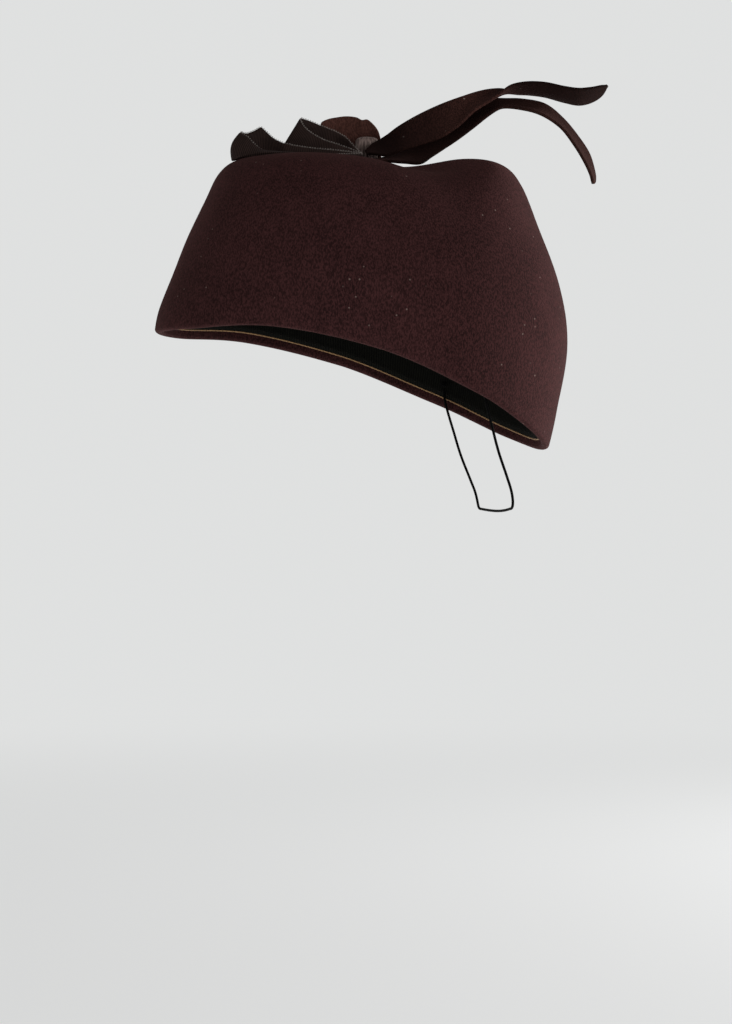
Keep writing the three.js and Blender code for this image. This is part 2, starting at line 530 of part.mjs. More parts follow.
function elasticGeometry() {
  const section = new THREE.Shape();
  for (let side = 0; side < elasticSides; side++) {
    const angle = (2 * Math.PI * side) / elasticSides;
    const corner = [Math.cos(angle), Math.sin(angle)].map((share) => (share * elasticDiameter) / 2);
    if (side === 0) section.moveTo(...corner);
    else section.lineTo(...corner);
  }
  return new THREE.ExtrudeGeometry(section, {
    steps: elasticSteps,
    extrudePath: elasticCurve(),
    curveSegments: 1,
  });
}

// Small round knot above an end of the elastic
function elasticKnotGeometry(wearerSide) {
  const knot = mergeVertices(stripAttributes(new THREE.SphereGeometry(knotDiameter / 2, 10, 8)));
  const [x, y, z] = elasticRoute[0];
  knot.translate(wearerSide * x, y, z + clearance + knotDiameter / 2);
  return knot;
}

function stripAttributes(geometry) {
  geometry.deleteAttribute("normal");
  geometry.deleteAttribute("uv");
  return geometry;
}

function piece(name, geometry, color, roughness) {
  const material = new THREE.MeshStandardMaterial({ color, roughness, metalness: 0 });
  const mesh = new THREE.Mesh(geometry, material);
  mesh.name = name;
  return mesh;
}

const feltColor = 0x35201d;
const ribbonColor = 0x1c1513;
const wrapColor = 0x4a3d38;
const elasticColor = 0x0c0b0b;

const frontLoop = loopGeometry(frontLoopRows, frontLoopReach, ribbonWidth, ribbonThickness);
const middleLoop = loopGeometry(middleLoopRows, middleLoopReach, ribbonWidth, ribbonThickness);
const feltLoop = loopGeometry(feltLoopRows, feltLoopReach, feltLoopHeight, trimFeltThickness);
const upperTail = tailGeometry(upperTailRows, upperTailReach, upperTailRise);
const lowerTail = tailGeometry(lowerTailRows, lowerTailReach, lowerTailRise);

const hat = new THREE.Group();
hat.add(crown);
hat.add(piece("sweatband", sweatbandGeometry(), ribbonColor, 0.8));
hat.add(piece("knot_wrap", wrapGeometry(), wrapColor, 0.8));
hat.add(piece("ribbon_loop_front", frontLoop, ribbonColor, 0.75));
hat.add(piece("ribbon_loop_middle", middleLoop, ribbonColor, 0.75));
hat.add(piece("felt_loop", feltLoop, feltColor, 0.95));
hat.add(piece("tail_upper", upperTail, feltColor, 0.95));
hat.add(piece("tail_lower", lowerTail, feltColor, 0.95));
hat.add(piece("elastic_cord", elasticGeometry(), elasticColor, 0.7));
hat.add(piece("elastic_knot_left", elasticKnotGeometry(1), elasticColor, 0.7));
hat.add(piece("elastic_knot_right", elasticKnotGeometry(-1), elasticColor, 0.7));

export default hat;
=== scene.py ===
"""Felt toque with ribbon loops, felt tails and a nape elastic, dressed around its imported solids.

Metres, +Z up, brow towards -Y, nape towards +Y, wearer's left towards +X.
"""
import math

import bpy
import numpy as np
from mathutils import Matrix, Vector, noise
from mathutils.bvhtree import BVHTree


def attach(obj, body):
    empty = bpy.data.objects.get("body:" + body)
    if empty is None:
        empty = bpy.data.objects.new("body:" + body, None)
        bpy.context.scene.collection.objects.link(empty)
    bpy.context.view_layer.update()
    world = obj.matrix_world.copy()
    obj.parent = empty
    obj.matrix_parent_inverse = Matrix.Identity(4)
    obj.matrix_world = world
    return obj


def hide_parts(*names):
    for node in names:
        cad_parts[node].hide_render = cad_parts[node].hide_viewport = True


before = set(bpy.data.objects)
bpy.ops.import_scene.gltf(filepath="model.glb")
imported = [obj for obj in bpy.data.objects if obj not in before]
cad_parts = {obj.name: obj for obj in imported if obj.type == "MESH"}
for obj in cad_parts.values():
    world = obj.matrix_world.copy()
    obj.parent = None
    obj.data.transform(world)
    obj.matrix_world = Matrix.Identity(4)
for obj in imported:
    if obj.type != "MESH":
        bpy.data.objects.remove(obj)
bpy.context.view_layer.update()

MM = 0.001

# Crown
BROW_REACH = 107 * MM
NAPE_REACH = 107.5 * MM
HALF_WIDTH = 81 * MM
CROWN_HEIGHT = 122 * MM
MIDDLE_HEIGHT = 119 * MM
FELT_WALL = 2.2 * MM
HEM_HEIGHT = 9 * MM
HEM_GAP = 0.2 * MM
EDGE_ROUNDING = 1.6 * MM
CROWN_COLUMNS = 240
CROWN_ROWS = 74
FELT_WAVE = 28 * MM
FELT_WAVE_DEPTH = 0.35 * MM

# Sweatband and its edge cord and stitches
BAND_SETBACK = 5 * MM
BAND_HEIGHT = 25 * MM
BAND_THICKNESS = 1 * MM
BAND_RIBS = 470
BAND_SAG = 0.05 * MM
BAND_THINNING = 0.2 * MM
EDGE_CORD = 0.8 * MM
STITCH_PITCH = 5 * MM
STITCH_LENGTH = 2.2 * MM
STITCH_RADIUS = 0.13 * MM
STITCH_HEIGHT = 2 * MM

# Trim
CLEARANCE = 0.3 * MM
KNOT_ALONG = -0.6 * MM
WRAP_LENGTH = 13.4 * MM
WRAP_DEPTH = 7.6 * MM
WRAP_HEIGHT = 14.8 * MM
WRAP_SETBACK = 7.5 * MM
WRAP_ALONG = 4.5 * MM
WRAP_FOLDS = 6
WRAP_FOLD_DEPTH = 0.05
RIBBON_THICKNESS = 0.7 * MM
RIBBON_WIDTH = 18 * MM
RIB_PITCH = 0.95 * MM
RIB_HEIGHT = 0.12 * MM
TRIM_FELT = 2 * MM
FRONT_LOOP_REACH = 69 * MM
MIDDLE_LOOP_REACH = 42 * MM
FELT_LOOP_REACH = 24 * MM
FELT_LOOP_HEIGHT = 27 * MM
UPPER_TAIL_REACH = 128 * MM
UPPER_TAIL_RISE = 44 * MM
LOWER_TAIL_REACH = 121 * MM
LOWER_TAIL_RISE = 34 * MM
TAIL_WIDTH = 20 * MM
TAIL_CUP = 1.5 * MM
PICOT_PITCH = 1.35 * MM
PICOT_SIZE = 0.68 * MM
PICOT_THREAD_RADIUS = 0.13 * MM
PICOT_REACH = 0.15 * MM

# Elastic
ELASTIC_DIAMETER = 1.4 * MM
KNOT_DIAMETER = 4 * MM

# Photograph: its frame in pixels, and where the eye stood
FRAME_LONG_SIDE = 1024
FOCAL_PIXELS = 2666.67
SENSOR_WIDTH = 36
EYE_DISTANCE = 1.4
EYE_TURN = math.radians(8)
EYE_SIDESTEP = 2.36 * MM
EYE_HEIGHT = -64.05 * MM
FLOOR_HEIGHT = -0.294

# Stage and light
FLOOR_RADIUS = 30
FLOOR_SIDES = 96
FLOOR_TONE = 0.8
FLOOR_GLOW = 0.6
FADE_START = 0.35
FADE_END = 1.6
AMBIENT_LIGHT = 0.25
LIT_POINT = (0, 0, 0.05)


# Camera, stage and light

def place_camera():
    """Level camera on the hat's left side, a little in front of it."""
    forward = Vector((-math.cos(EYE_TURN), math.sin(EYE_TURN), 0))
    right = Vector((math.sin(EYE_TURN), math.cos(EYE_TURN), 0))
    lens = bpy.data.cameras.new("eye")
    lens.sensor_width = SENSOR_WIDTH
    lens.lens = FOCAL_PIXELS / FRAME_LONG_SIDE * SENSOR_WIDTH
    eye = bpy.data.objects.new("eye", lens)
    eye.location = -EYE_DISTANCE * forward + EYE_SIDESTEP * right
    eye.location.z = EYE_HEIGHT
    eye.rotation_euler = forward.to_track_quat("-Z", "Y").to_euler()
    bpy.context.collection.objects.link(eye)
    bpy.context.scene.camera = eye


BACKDROP = (0.742, 0.75, 0.747)


def lay_floor():
    """Pale floor that fades into the backdrop's own tone away from the hat."""
    angles = np.arange(FLOOR_SIDES) * 2 * math.pi / FLOOR_SIDES
    rim = np.stack([
        FLOOR_RADIUS * np.cos(angles),
        FLOOR_RADIUS * np.sin(angles),
        np.full(FLOOR_SIDES, FLOOR_HEIGHT),
    ], 1)
    mesh = bpy.data.meshes.new("floor")
    mesh.from_pydata(rim.tolist(), [], [tuple(range(FLOOR_SIDES))])
    floor = bpy.data.objects.new("floor", mesh)
    bpy.context.collection.objects.link(floor)

    material = bpy.data.materials.new("floor")
    material.use_nodes = True
    nodes = material.node_tree.nodes
    links = material.node_tree.links
    paint = nodes["Principled BSDF"]
    paint.inputs["Base Color"].default_value = (FLOOR_TONE, FLOOR_TONE, FLOOR_TONE, 1)
    paint.inputs["Roughness"].default_value = 0.9
    paint.inputs["Specular IOR Level"].default_value = 0.1
    paint.inputs["Emission Color"].default_value = (*BACKDROP, 1)
    paint.inputs["Emission Strength"].default_value = FLOOR_GLOW
    place = nodes.new("ShaderNodeTexCoord")
    distance = nodes.new("ShaderNodeVectorMath")
    distance.operation = "LENGTH"
    links.new(place.outputs["Object"], distance.inputs[0])
    fade = nodes.new("ShaderNodeMapRange")
    fade.interpolation_type = "SMOOTHSTEP"
    fade.inputs["From Min"].default_value = FADE_START
    fade.inputs["From Max"].default_value = FADE_END
    links.new(distance.outputs["Value"], fade.inputs["Value"])
    glow = nodes.new("ShaderNodeEmission")
    glow.inputs["Color"].default_value = (*BACKDROP, 1)
    mixed = nodes.new("ShaderNodeMixShader")
    links.new(fade.outputs["Result"], mixed.inputs["Fac"])
    links.new(paint.outputs["BSDF"], mixed.inputs[1])
    links.new(glow.outputs["Emission"], mixed.inputs[2])
    links.new(mixed.outputs["Shader"], nodes["Material Output"].inputs["Surface"])
    mesh.materials.append(material)


def light_world(ambient):
    """Backdrop tone for the eye, and a dimmer even light for the hat."""
    world = bpy.data.worlds.new("studio")
    world.use_nodes = True
    bpy.context.scene.world = world
    nodes = world.node_tree.nodes
    links = world.node_tree.links
    seen = nodes.new("ShaderNodeLightPath")
    strength = nodes.new("ShaderNodeMapRange")
    strength.inputs["To Min"].default_value = ambient
    strength.inputs["To Max"].default_value = 1
    links.new(seen.outputs["Is Camera Ray"], strength.inputs["Value"])
    nodes["Background"].inputs["Color"].default_value = (*BACKDROP, 1)
    links.new(strength.outputs["Result"], nodes["Background"].inputs["Strength"])


def hang_light(name, place, size, power):
    """Round area light turned towards the hat."""
    lamp = bpy.data.lights.new(name, "AREA")
    lamp.shape = "DISK"
    lamp.size = size
    lamp.energy = power
    light = bpy.data.objects.new(name, lamp)
    light.location = place
    light.rotation_euler = (Vector(LIT_POINT) - Vector(place)).to_track_quat("-Z", "Y").to_euler()
    bpy.context.collection.objects.link(light)


place_camera()
lay_floor()
light_world(AMBIENT_LIGHT)
hang_light("key", (-0.3, 1.3, -0.02), 0.3, 12)
hang_light("side_fill", (1.5, 1.2, 0.2), 0.5, 6.2)
bpy.context.scene.view_settings.view_transform = "Standard"


# Shader groups shared by the finishes

def new_group(name, inputs, outputs):
    tree = bpy.data.node_groups.new(name, "ShaderNodeTree")
    for label, kind, value in inputs:
        socket = tree.interface.new_socket(label, in_out="INPUT", socket_type=kind)
        if value is not None:
            socket.default_value = value
    for label, kind in outputs:
        tree.interface.new_socket(label, in_out="OUTPUT", socket_type=kind)
    return tree, tree.nodes.new("NodeGroupInput"), tree.nodes.new("NodeGroupOutput")


def math_node(tree, operation, first, second=None, third=None):
    node = tree.nodes.new("ShaderNodeMath")
    node.operation = operation
    for socket, value in zip(node.inputs, (first, second, third)):
        if value is None:
            continue
        if isinstance(value, (int, float)):
            socket.default_value = value
        else:
            tree.links.new(value, socket)
    return node.outputs["Value"]


def ramp_node(tree, value, low, high, to_low=0.0, to_high=1.0):
    node = tree.nodes.new("ShaderNodeMapRange")
    node.interpolation_type = "SMOOTHSTEP"
    tree.links.new(value, node.inputs["Value"])
    limits = (("From Min", low), ("From Max", high), ("To Min", to_low), ("To Max", to_high))
    for label, number in limits:
        node.inputs[label].default_value = number
    return node.outputs["Result"]


def noise_node(tree, place, scale, detail=2.0, roughness=0.5):
    node = tree.nodes.new("ShaderNodeTexNoise")
    tree.links.new(place, node.inputs["Vector"])
    if isinstance(scale, (int, float)):
        node.inputs["Scale"].default_value = scale
    else:
        tree.links.new(scale, node.inputs["Scale"])
    node.inputs["Detail"].default_value = detail
    node.inputs["Roughness"].default_value = roughness
    return node.outputs["Fac"]


def mix_colours(tree, share, first, second):
    node = tree.nodes.new("ShaderNodeMix")
    node.data_type = "RGBA"
    tree.links.new(share, node.inputs["Factor"])
    colour_sockets = [socket for socket in node.inputs if socket.type == "RGBA"]
    for socket, value in zip(colour_sockets, (first, second)):
        if isinstance(value, tuple):
            socket.default_value = (*value, 1)
        else:
            tree.links.new(value, socket)
    return next(socket for socket in node.outputs if socket.type == "RGBA")


def nap_group():
    """Pressed wool: short fibres, soft clouds and a few pale specks of lint."""
    tree, ins, outs = new_group(
        "pressed_wool_nap",
        [("Place", "NodeSocketVector", None), ("Fibre Scale", "NodeSocketFloat", 1500.0)],
        [("Fibre", "NodeSocketFloat"), ("Cloud", "NodeSocketFloat"),
         ("Lint", "NodeSocketFloat"), ("Height", "NodeSocketFloat")],
    )
    place = ins.outputs["Place"]
    streak = tree.nodes.new("ShaderNodeVectorMath")
    streak.operation = "MULTIPLY"
    streak.inputs[1].default_value = (1, 1, 0.45)
    tree.links.new(place, streak.inputs[0])
    fibre = noise_node(tree, streak.outputs["Vector"], ins.outputs["Fibre Scale"], 3, 0.65)
    grain = noise_node(tree, place, 620, 2, 0.6)
    cloud = noise_node(tree, place, 38, 3, 0.55)
    cells = tree.nodes.new("ShaderNodeTexVoronoi")
    cells.inputs["Scale"].default_value = 210
    tree.links.new(place, cells.inputs["Vector"])
    chosen = tree.nodes.new("ShaderNodeSeparateColor")
    tree.links.new(cells.outputs["Color"], chosen.inputs["Color"])
    rare = ramp_node(tree, chosen.outputs["Red"], 0.8, 0.84)
    near = ramp_node(tree, cells.outputs["Distance"], 0.06, 0.13, 1, 0)
    tuft = math_node(tree, "MULTIPLY_ADD", grain, 0.15, math_node(tree, "MULTIPLY", fibre, 0.85))
    tree.links.new(ramp_node(tree, tuft, 0.41, 0.6), outs.inputs["Fibre"])
    tree.links.new(ramp_node(tree, cloud, 0.32, 0.7), outs.inputs["Cloud"])
    tree.links.new(math_node(tree, "MULTIPLY", rare, near), outs.inputs["Lint"])
    tree.links.new(math_node(tree, "MULTIPLY_ADD", grain, 0.4, fibre), outs.inputs["Height"])
    return tree


def rib_group():
    """Grosgrain: ribs across the ribbon, with fine warp threads that cross them."""
    tree, ins, outs = new_group(
        "grosgrain_ribs",
        [("Along", "NodeSocketFloat", 0.0), ("Across", "NodeSocketFloat", 0.0),
         ("Rib Pitch", "NodeSocketFloat", RIB_PITCH), ("Thread Pitch", "NodeSocketFloat", 0.35 * MM)],
        [("Crest", "NodeSocketFloat"), ("Height", "NodeSocketFloat")],
    )
    turns = math_node(tree, "DIVIDE", ins.outputs["Along"], ins.outputs["Rib Pitch"])
    wave = math_node(tree, "COSINE", math_node(tree, "MULTIPLY", turns, 2 * math.pi))
    crest = math_node(tree, "MULTIPLY_ADD", wave, 0.5, 0.5)
    threads = math_node(tree, "DIVIDE", ins.outputs["Across"], ins.outputs["Thread Pitch"])
    warp = math_node(tree, "COSINE", math_node(tree, "MULTIPLY", threads, 2 * math.pi))
    tree.links.new(crest, outs.inputs["Crest"])
    tree.links.new(math_node(tree, "MULTIPLY_ADD", warp, 0.25, crest), outs.inputs["Height"])
    return tree


NAP = nap_group()
RIBS = rib_group()


def new_finish(name, roughness, specular, sheen=0.0, sheen_roughness=0.4, sheen_tint=(1, 1, 1)):
    material = bpy.data.materials.new(name)
    material.use_nodes = True
    surface = material.node_tree.nodes["Principled BSDF"]
    surface.inputs["Roughness"].default_value = roughness
    surface.inputs["Specular IOR Level"].default_value = specular
    surface.inputs["Sheen Weight"].default_value = sheen
    surface.inputs["Sheen Roughness"].default_value = sheen_roughness
    surface.inputs["Sheen Tint"].default_value = (*sheen_tint, 1)
    return material, material.node_tree, surface


def add_bump(tree, surface, height, strength, distance):
    bump = tree.nodes.new("ShaderNodeBump")
    bump.inputs["Strength"].default_value = strength
    bump.inputs["Distance"].default_value = distance
    tree.links.new(height, bump.inputs["Height"])
    tree.links.new(bump.outputs["Normal"], surface.inputs["Normal"])


def paint_tail_light_and_shade(tree, place, colour, stops):
    """Painted light and shade: darkens and lightens a felt's colour from stop to stop along the tail."""
    parts = tree.nodes.new("ShaderNodeSeparateXYZ")
    tree.links.new(place, parts.inputs["Vector"])
    painted_brightness = stops[0][1]
    for (start, before), (end, after) in zip(stops, stops[1:]):
        step = ramp_node(tree, parts.outputs["Y"], start, end, 0, after - before)
        painted_brightness = math_node(tree, "ADD", step, painted_brightness)
    scaled = tree.nodes.new("ShaderNodeVectorMath")
    scaled.operation = "SCALE"
    tree.links.new(colour, scaled.inputs[0])
    tree.links.new(painted_brightness, scaled.inputs["Scale"])
    return scaled.outputs["Vector"]


def felt_finish(name, dark, light, lint, sheen, painted_light_stops=()):
    """Felt with its nap, whose colour may carry painted light and shade that changes from stop to stop
    towards the nape.
    """
    material, tree, surface = new_finish(name, 0.95, 0.08, sheen, 0.5, (0.85, 0.36, 0.32))
    place = tree.nodes.new("ShaderNodeTexCoord")
    nap = tree.nodes.new("ShaderNodeGroup")
    nap.node_tree = NAP
    tree.links.new(place.outputs["Object"], nap.inputs["Place"])
    shade = math_node(tree, "MULTIPLY_ADD", nap.outputs["Cloud"], 0.2,
                      math_node(tree, "MULTIPLY", nap.outputs["Fibre"], 0.8))
    cloth = mix_colours(tree, shade, dark, light)
    specks = math_node(tree, "MULTIPLY", nap.outputs["Lint"], 0.5)
    colour = mix_colours(tree, specks, cloth, lint)
    # Painted light and shade along the tail, multiplied into the felt's colour
    if painted_light_stops:
        colour = paint_tail_light_and_shade(tree, place.outputs["Object"], colour, painted_light_stops)
    tree.links.new(colour, surface.inputs["Base Color"])
    tree.links.new(ramp_node(tree, nap.outputs["Fibre"], 0, 1, 0.9, 1), surface.inputs["Roughness"])
    add_bump(tree, surface, nap.outputs["Height"], 0.75, 0.3 * MM)
    return material


def grosgrain_finish(name, shaded_valley, crest_colour):
    """Ribbed silk ribbon, with painted shade between its ribs and a little worn."""
    material, tree, surface = new_finish(name, 0.75, 0.06, 0.03, 0.3, (0.8, 0.55, 0.5))
    place = tree.nodes.new("ShaderNodeUVMap")
    place.uv_map = "cloth"
    parts = tree.nodes.new("ShaderNodeSeparateXYZ")
    tree.links.new(place.outputs["UV"], parts.inputs["Vector"])
    ribs = tree.nodes.new("ShaderNodeGroup")
    ribs.node_tree = RIBS
    tree.links.new(parts.outputs["X"], ribs.inputs["Along"])
    tree.links.new(parts.outputs["Y"], ribs.inputs["Across"])
    worn = tree.nodes.new("ShaderNodeTexCoord")
    cloud = noise_node(tree, worn.outputs["Object"], 160, 2, 0.5)
    wear = ramp_node(tree, cloud, 0.25, 0.75, 0.6, 1)
    shade = math_node(tree, "MULTIPLY", ribs.outputs["Crest"], wear)
    # Painted shade: the colour darkens into the valley between each pair of ribs
    tree.links.new(mix_colours(tree, shade, shaded_valley, crest_colour), surface.inputs["Base Color"])
    tree.links.new(ramp_node(tree, cloud, 0.2, 0.8, 0.55, 0.72), surface.inputs["Roughness"])
    add_bump(tree, surface, ribs.outputs["Height"], 0.4, 0.1 * MM)
    return material


def thread_finish(name, dark, light, roughness, scale, gloss=0.2, upright=1.0):
    """Twisted or woven thread with a fine grain, which a low upright draws out in height."""
    material, tree, surface = new_finish(name, roughness, gloss, gloss, 0.4, (0.9, 0.85, 0.8))
    place = tree.nodes.new("ShaderNodeTexCoord")
    drawn = tree.nodes.new("ShaderNodeVectorMath")
    drawn.operation = "MULTIPLY"
    drawn.inputs[1].default_value = (1, 1, upright)
    tree.links.new(place.outputs["Object"], drawn.inputs[0])
    grain = noise_node(tree, drawn.outputs["Vector"], scale, 2, 0.6)
    shade = ramp_node(tree, grain, 0.3, 0.7)
    tree.links.new(mix_colours(tree, shade, dark, light), surface.inputs["Base Color"])
    tree.links.new(ramp_node(tree, grain, 0.3, 0.7, roughness - 0.08, roughness + 0.08),
                   surface.inputs["Roughness"])
    add_bump(tree, surface, grain, 0.4, 0.1 * MM)
    return material


# Felts: dark, light, lint, sheen, then the places towards the nape where the painted light and shade
# turns
CROWN_FELT = felt_finish(
    "brown_felt", (0.018, 0.0064, 0.0064), (0.073, 0.0262, 0.0265), (0.34, 0.25, 0.22), 0.08)
# The felt loop's felt is a lighter copy of the crown's felt: painted light
LOOP_FELT = felt_finish(
    "loop_felt", (0.06, 0.0245, 0.019), (0.135, 0.056, 0.044), (0.3, 0.22, 0.2), 0.12)
# The tails' felt is a darker copy of the crown's felt: painted shade
TAIL_DARK = (0.011, 0.0045, 0.0036)
TAIL_LIGHT = (0.033, 0.013, 0.0105)
TAIL_LINT = (0.2, 0.16, 0.14)
TAIL_SHEEN = 0.05
# The tails' brightness stops are painted light and shade along each tail
UPPER_TAIL_FELT = felt_finish(
    "upper_tail_felt_painted_light_and_shade", TAIL_DARK, TAIL_LIGHT, TAIL_LINT, TAIL_SHEEN,
    ((12 * MM, 0.4), (34 * MM, 1.2), (58 * MM, 2.8), (88 * MM, 0.45)))
LOWER_TAIL_FELT = felt_finish(
    "lower_tail_felt_painted_light_and_shade", TAIL_DARK, TAIL_LIGHT, TAIL_LINT, TAIL_SHEEN,
    ((7 * MM, 2.2), (13 * MM, 0.5), (60 * MM, 0.7), (76 * MM, 0.9), (100 * MM, 1.5)))

# Ribbons: valley with painted shade, and crest of a rib
GROSGRAIN = grosgrain_finish("dark_grosgrain", (0.012, 0.0075, 0.0065), (0.075, 0.045, 0.039))
BAND_GROSGRAIN = grosgrain_finish("band_grosgrain", (0.004, 0.004, 0.0035), (0.013, 0.013, 0.01))

# Threads and cloth: dark, light, roughness, grain, and for some their gloss and uprightness
PICOT_THREAD = thread_finish("picot_thread", (0.22, 0.19, 0.17), (0.48, 0.42, 0.39), 0.6, 2600)
TAN_THREAD = thread_finish("tan_thread", (0.28, 0.16, 0.07), (0.5, 0.3, 0.15), 0.55, 2400)
DARK_THREAD = thread_finish("dark_thread", (0.012, 0.009, 0.007), (0.04, 0.03, 0.024), 0.6, 2400, 0.1)
TAUPE_CLOTH = thread_finish(
    "taupe_cloth", (0.1, 0.07, 0.062), (0.34, 0.25, 0.225), 0.85, 1300, 0.15, 0.16)
BLACK_ELASTIC = thread_finish(
    "black_elastic", (0.001, 0.001, 0.001), (0.005, 0.0045, 0.0045), 0.7, 2000, 0.03)


# Mesh helpers

def add_piece(name, points, faces, uvs, material, stands_for=()):
    """Object at the origin from points, faces and the points' places on the cloth."""
    mesh = bpy.data.meshes.new(name)
    mesh.from_pydata(points.tolist(), [], faces)
    mesh.polygons.foreach_set("use_smooth", [True] * len(mesh.polygons))
    if uvs is not None:
        layer = mesh.uv_layers.new(name="cloth")
        corners = np.zeros(len(mesh.loops), int)
        mesh.loops.foreach_get("vertex_index", corners)
        layer.data.foreach_set("uv", np.ascontiguousarray(uvs[corners], np.float32).ravel())
    mesh.materials.append(material)
    mesh.update()
    piece = bpy.data.objects.new(name, mesh)
    bpy.context.collection.objects.link(piece)
    dress(piece, stands_for)
    return piece


def dress(piece, stands_for=()):
    """Puts a piece on the hat's one body and hides the solids it replaces."""
    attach(piece, "root")
    if stands_for:
        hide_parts(*stands_for)


def ring_faces(rows, columns, joined=False):
    """Quads between rows of points, each row going once round."""
    faces = []
    for row in range(rows if joined else rows - 1):
        below = (row + 1) % rows
        for column in range(columns):
            beside = (column + 1) % columns
            faces.append((row * columns + column, row * columns + beside,
                          below * columns + beside, below * columns + column))
    return faces


def close_with_poles(points, faces, columns, poles):
    """Points and faces of stacked rings, closed by a fan to one pole below and one above."""
    low = len(points)
    final = low - columns
    for column in range(columns):
        beside = (column + 1) % columns
        faces.append((low, beside, column))
        faces.append((low + 1, final + column, final + beside))
    return np.vstack([points, poles]), faces


def signed_volume(points, faces):
    total = 0.0
    for face in faces:
        first = points[face[0]]
        for second, third in zip(face[1:-1], face[2:]):
            total += float(np.dot(first, np.cross(points[second], points[third])))
    return total


def outwards(points, faces):
    """The faces, turned round if the closed mesh is inside out."""
    return faces if signed_volume(points, faces) > 0 else [tuple(reversed(face)) for face in faces]


def cubic(a, b, c, d, t):
    return 0.5 * (2 * b + (c - a) * t + (2 * a - 5 * b + 4 * c - d) * t**2
                  + (3 * b - a - 3 * c + d) * t**3)


def column_value(values, place, mirrored):
    """Smooth value between a column's rows; beyond its ends the column is mirrored or held."""
    values = np.asarray(values, float)
    last = len(values) - 1

    def at(index):
        if mirrored:
            index = np.abs(last - np.abs(last - index))
        return values[np.clip(index, 0, last)]

    index = np.minimum(np.floor(place).astype(int), last - 1)
    return cubic(at(index - 1), at(index), at(index + 1), at(index + 2), place - index)


def smooth_curve(knots, shares):
    """Points on the centripetal curve through the knots, at shares of the way from first to last."""
    knots = np.asarray(knots, float)
    padded = np.vstack([2 * knots[0] - knots[1], knots, 2 * knots[-1] - knots[-2]])
    place = np.clip(np.asarray(shares, float), 0, 1) * (len(knots) - 1)
    index = np.minimum(np.floor(place).astype(int), len(knots) - 2)
    t = (place - index)[:, None]
    before, start, end, after = (padded[index + shift] for shift in range(4))

    def gap(first, second):
        return np.sqrt(np.linalg.norm(second - first, axis=1))[:, None]

    leading, middle, trailing = gap(before, start), gap(start, end), gap(end, after)
    direct = (end - start) / middle
    leave = ((start - before) / leading - (end - before) / (leading + middle) + direct) * middle
    arrive = (direct - (after - start) / (middle + trailing) + (after - end) / trailing) * middle
    return (start + leave * t + (3 * (end - start) - 2 * leave - arrive) * t**2
            + (2 * (start - end) + leave + arrive) * t**3)


def unit(vectors):
    return vectors / np.maximum(np.linalg.norm(vectors, axis=-1, keepdims=True), 1e-12)


# Crown, the same form as its solid, in finer steps. Edge and ridge heights are shares of
# CROWN_HEIGHT for every 30 degrees from brow to nape.
EDGE_LINE = (0.242, 0.235, 0.23, 0.133, -0.035, -0.194, -0.258)
RIDGE_LINE = (0.99, 0.985, 0.979, 0.96, 0.922, 0.986, 0.978)
LINE_STEP = 30

# Level sections from edge to top: rise, brow, nape, side, square, sink
SECTIONS = np.array([
    (0.0, 1.015, 0.915, 0.975, 2.05, 0),
    (0.13, 0.992, 0.957, 0.995, 2.1, 0),
    (0.35, 0.918, 1.01, 1.0, 2.15, 0),
    (0.56, 0.847, 0.972, 0.95, 2.2, 0),
    (0.76, 0.765, 0.872, 0.86, 2.25, 0),
    (0.91, 0.7, 0.789, 0.74, 2.25, 0),
    (0.98, 0.615, 0.7, 0.61, 2.2, 0),
    (1.0, 0.46, 0.54, 0.47, 2.1, 0),
    (1.0, 0.25, 0.28, 0.25, 2.0, 0.75),
    (1.0, 0.0, 0.0, 0.0, 2.0, 1),
])
LAST_SECTION = len(SECTIONS) - 1
TOP_SECTION = 7
CROWN_POLE_GAP = 0.005
TURN_STEP = 0.01

# Soft hollows: turn, section, spread of turn, spread of section, depth as a share of HALF_WIDTH
HOLLOWS = (
    (112, 5.4, 20, 1.9, 0.035),
    (150, 4.2, 16, 1.6, 0.02),
    (180, 8.1, 75, 0.75, 0.045),
)


def line_height(line, turn):
    """Height of the edge or ridge line at turns from the brow."""
    degrees = np.degrees(np.arccos(np.clip(np.cos(turn), -1, 1)))
    return CROWN_HEIGHT * column_value(line, degrees / LINE_STEP, mirrored=True)


def blocked_points(turn, place):
    """Outer face of the crown before its hollows, at turns from the brow and section places."""
    rise, brow, nape, side, square, sink = (
        column_value(SECTIONS[:, column], place, mirrored=False) for column in range(6))
    lengthwise = np.cos(turn)
    sideways = np.sin(turn)
    outline = (np.abs(lengthwise) ** square + np.abs(sideways) ** square) ** (-1 / square)
    reach = np.where(lengthwise > 0, BROW_REACH * brow, NAPE_REACH * nape)
    edge = line_height(EDGE_LINE, turn)
    level = edge + (line_height(RIDGE_LINE, turn) - edge) * rise
    return np.stack([
        HALF_WIDTH * side * outline * sideways,
        -reach * outline * lengthwise,
        level + (MIDDLE_HEIGHT - level) * sink,
    ], -1)


def outward_at(surface, turn, place):
    """Direction out of the felt at places on a surface; at the middle of the top it is up."""
    around = surface(turn + TURN_STEP, place) - surface(turn - TURN_STEP, place)
    above = np.minimum(place + TURN_STEP, LAST_SECTION)
    below = np.maximum(place - TURN_STEP, 0)
    normal = unit(np.cross(around, surface(turn, above) - surface(turn, below)))
    normal[place > LAST_SECTION - TURN_STEP] = (0, 0, 1)
    return normal


def crown_points(turn, place):
    """Outer face of the crown with its hollows pressed in."""
    degrees = np.degrees(np.arccos(np.clip(np.cos(turn), -1, 1)))
    depth = 0
    for at_turn, at_section, turn_spread, section_spread, share in HOLLOWS:
        across = (degrees - at_turn) / turn_spread
        upwards = (place - at_section) / section_spread
        depth = depth + HALF_WIDTH * share * np.exp(-across**2 - upwards**2)
    return blocked_points(turn, place) - outward_at(blocked_points, turn, place) * depth[..., None]


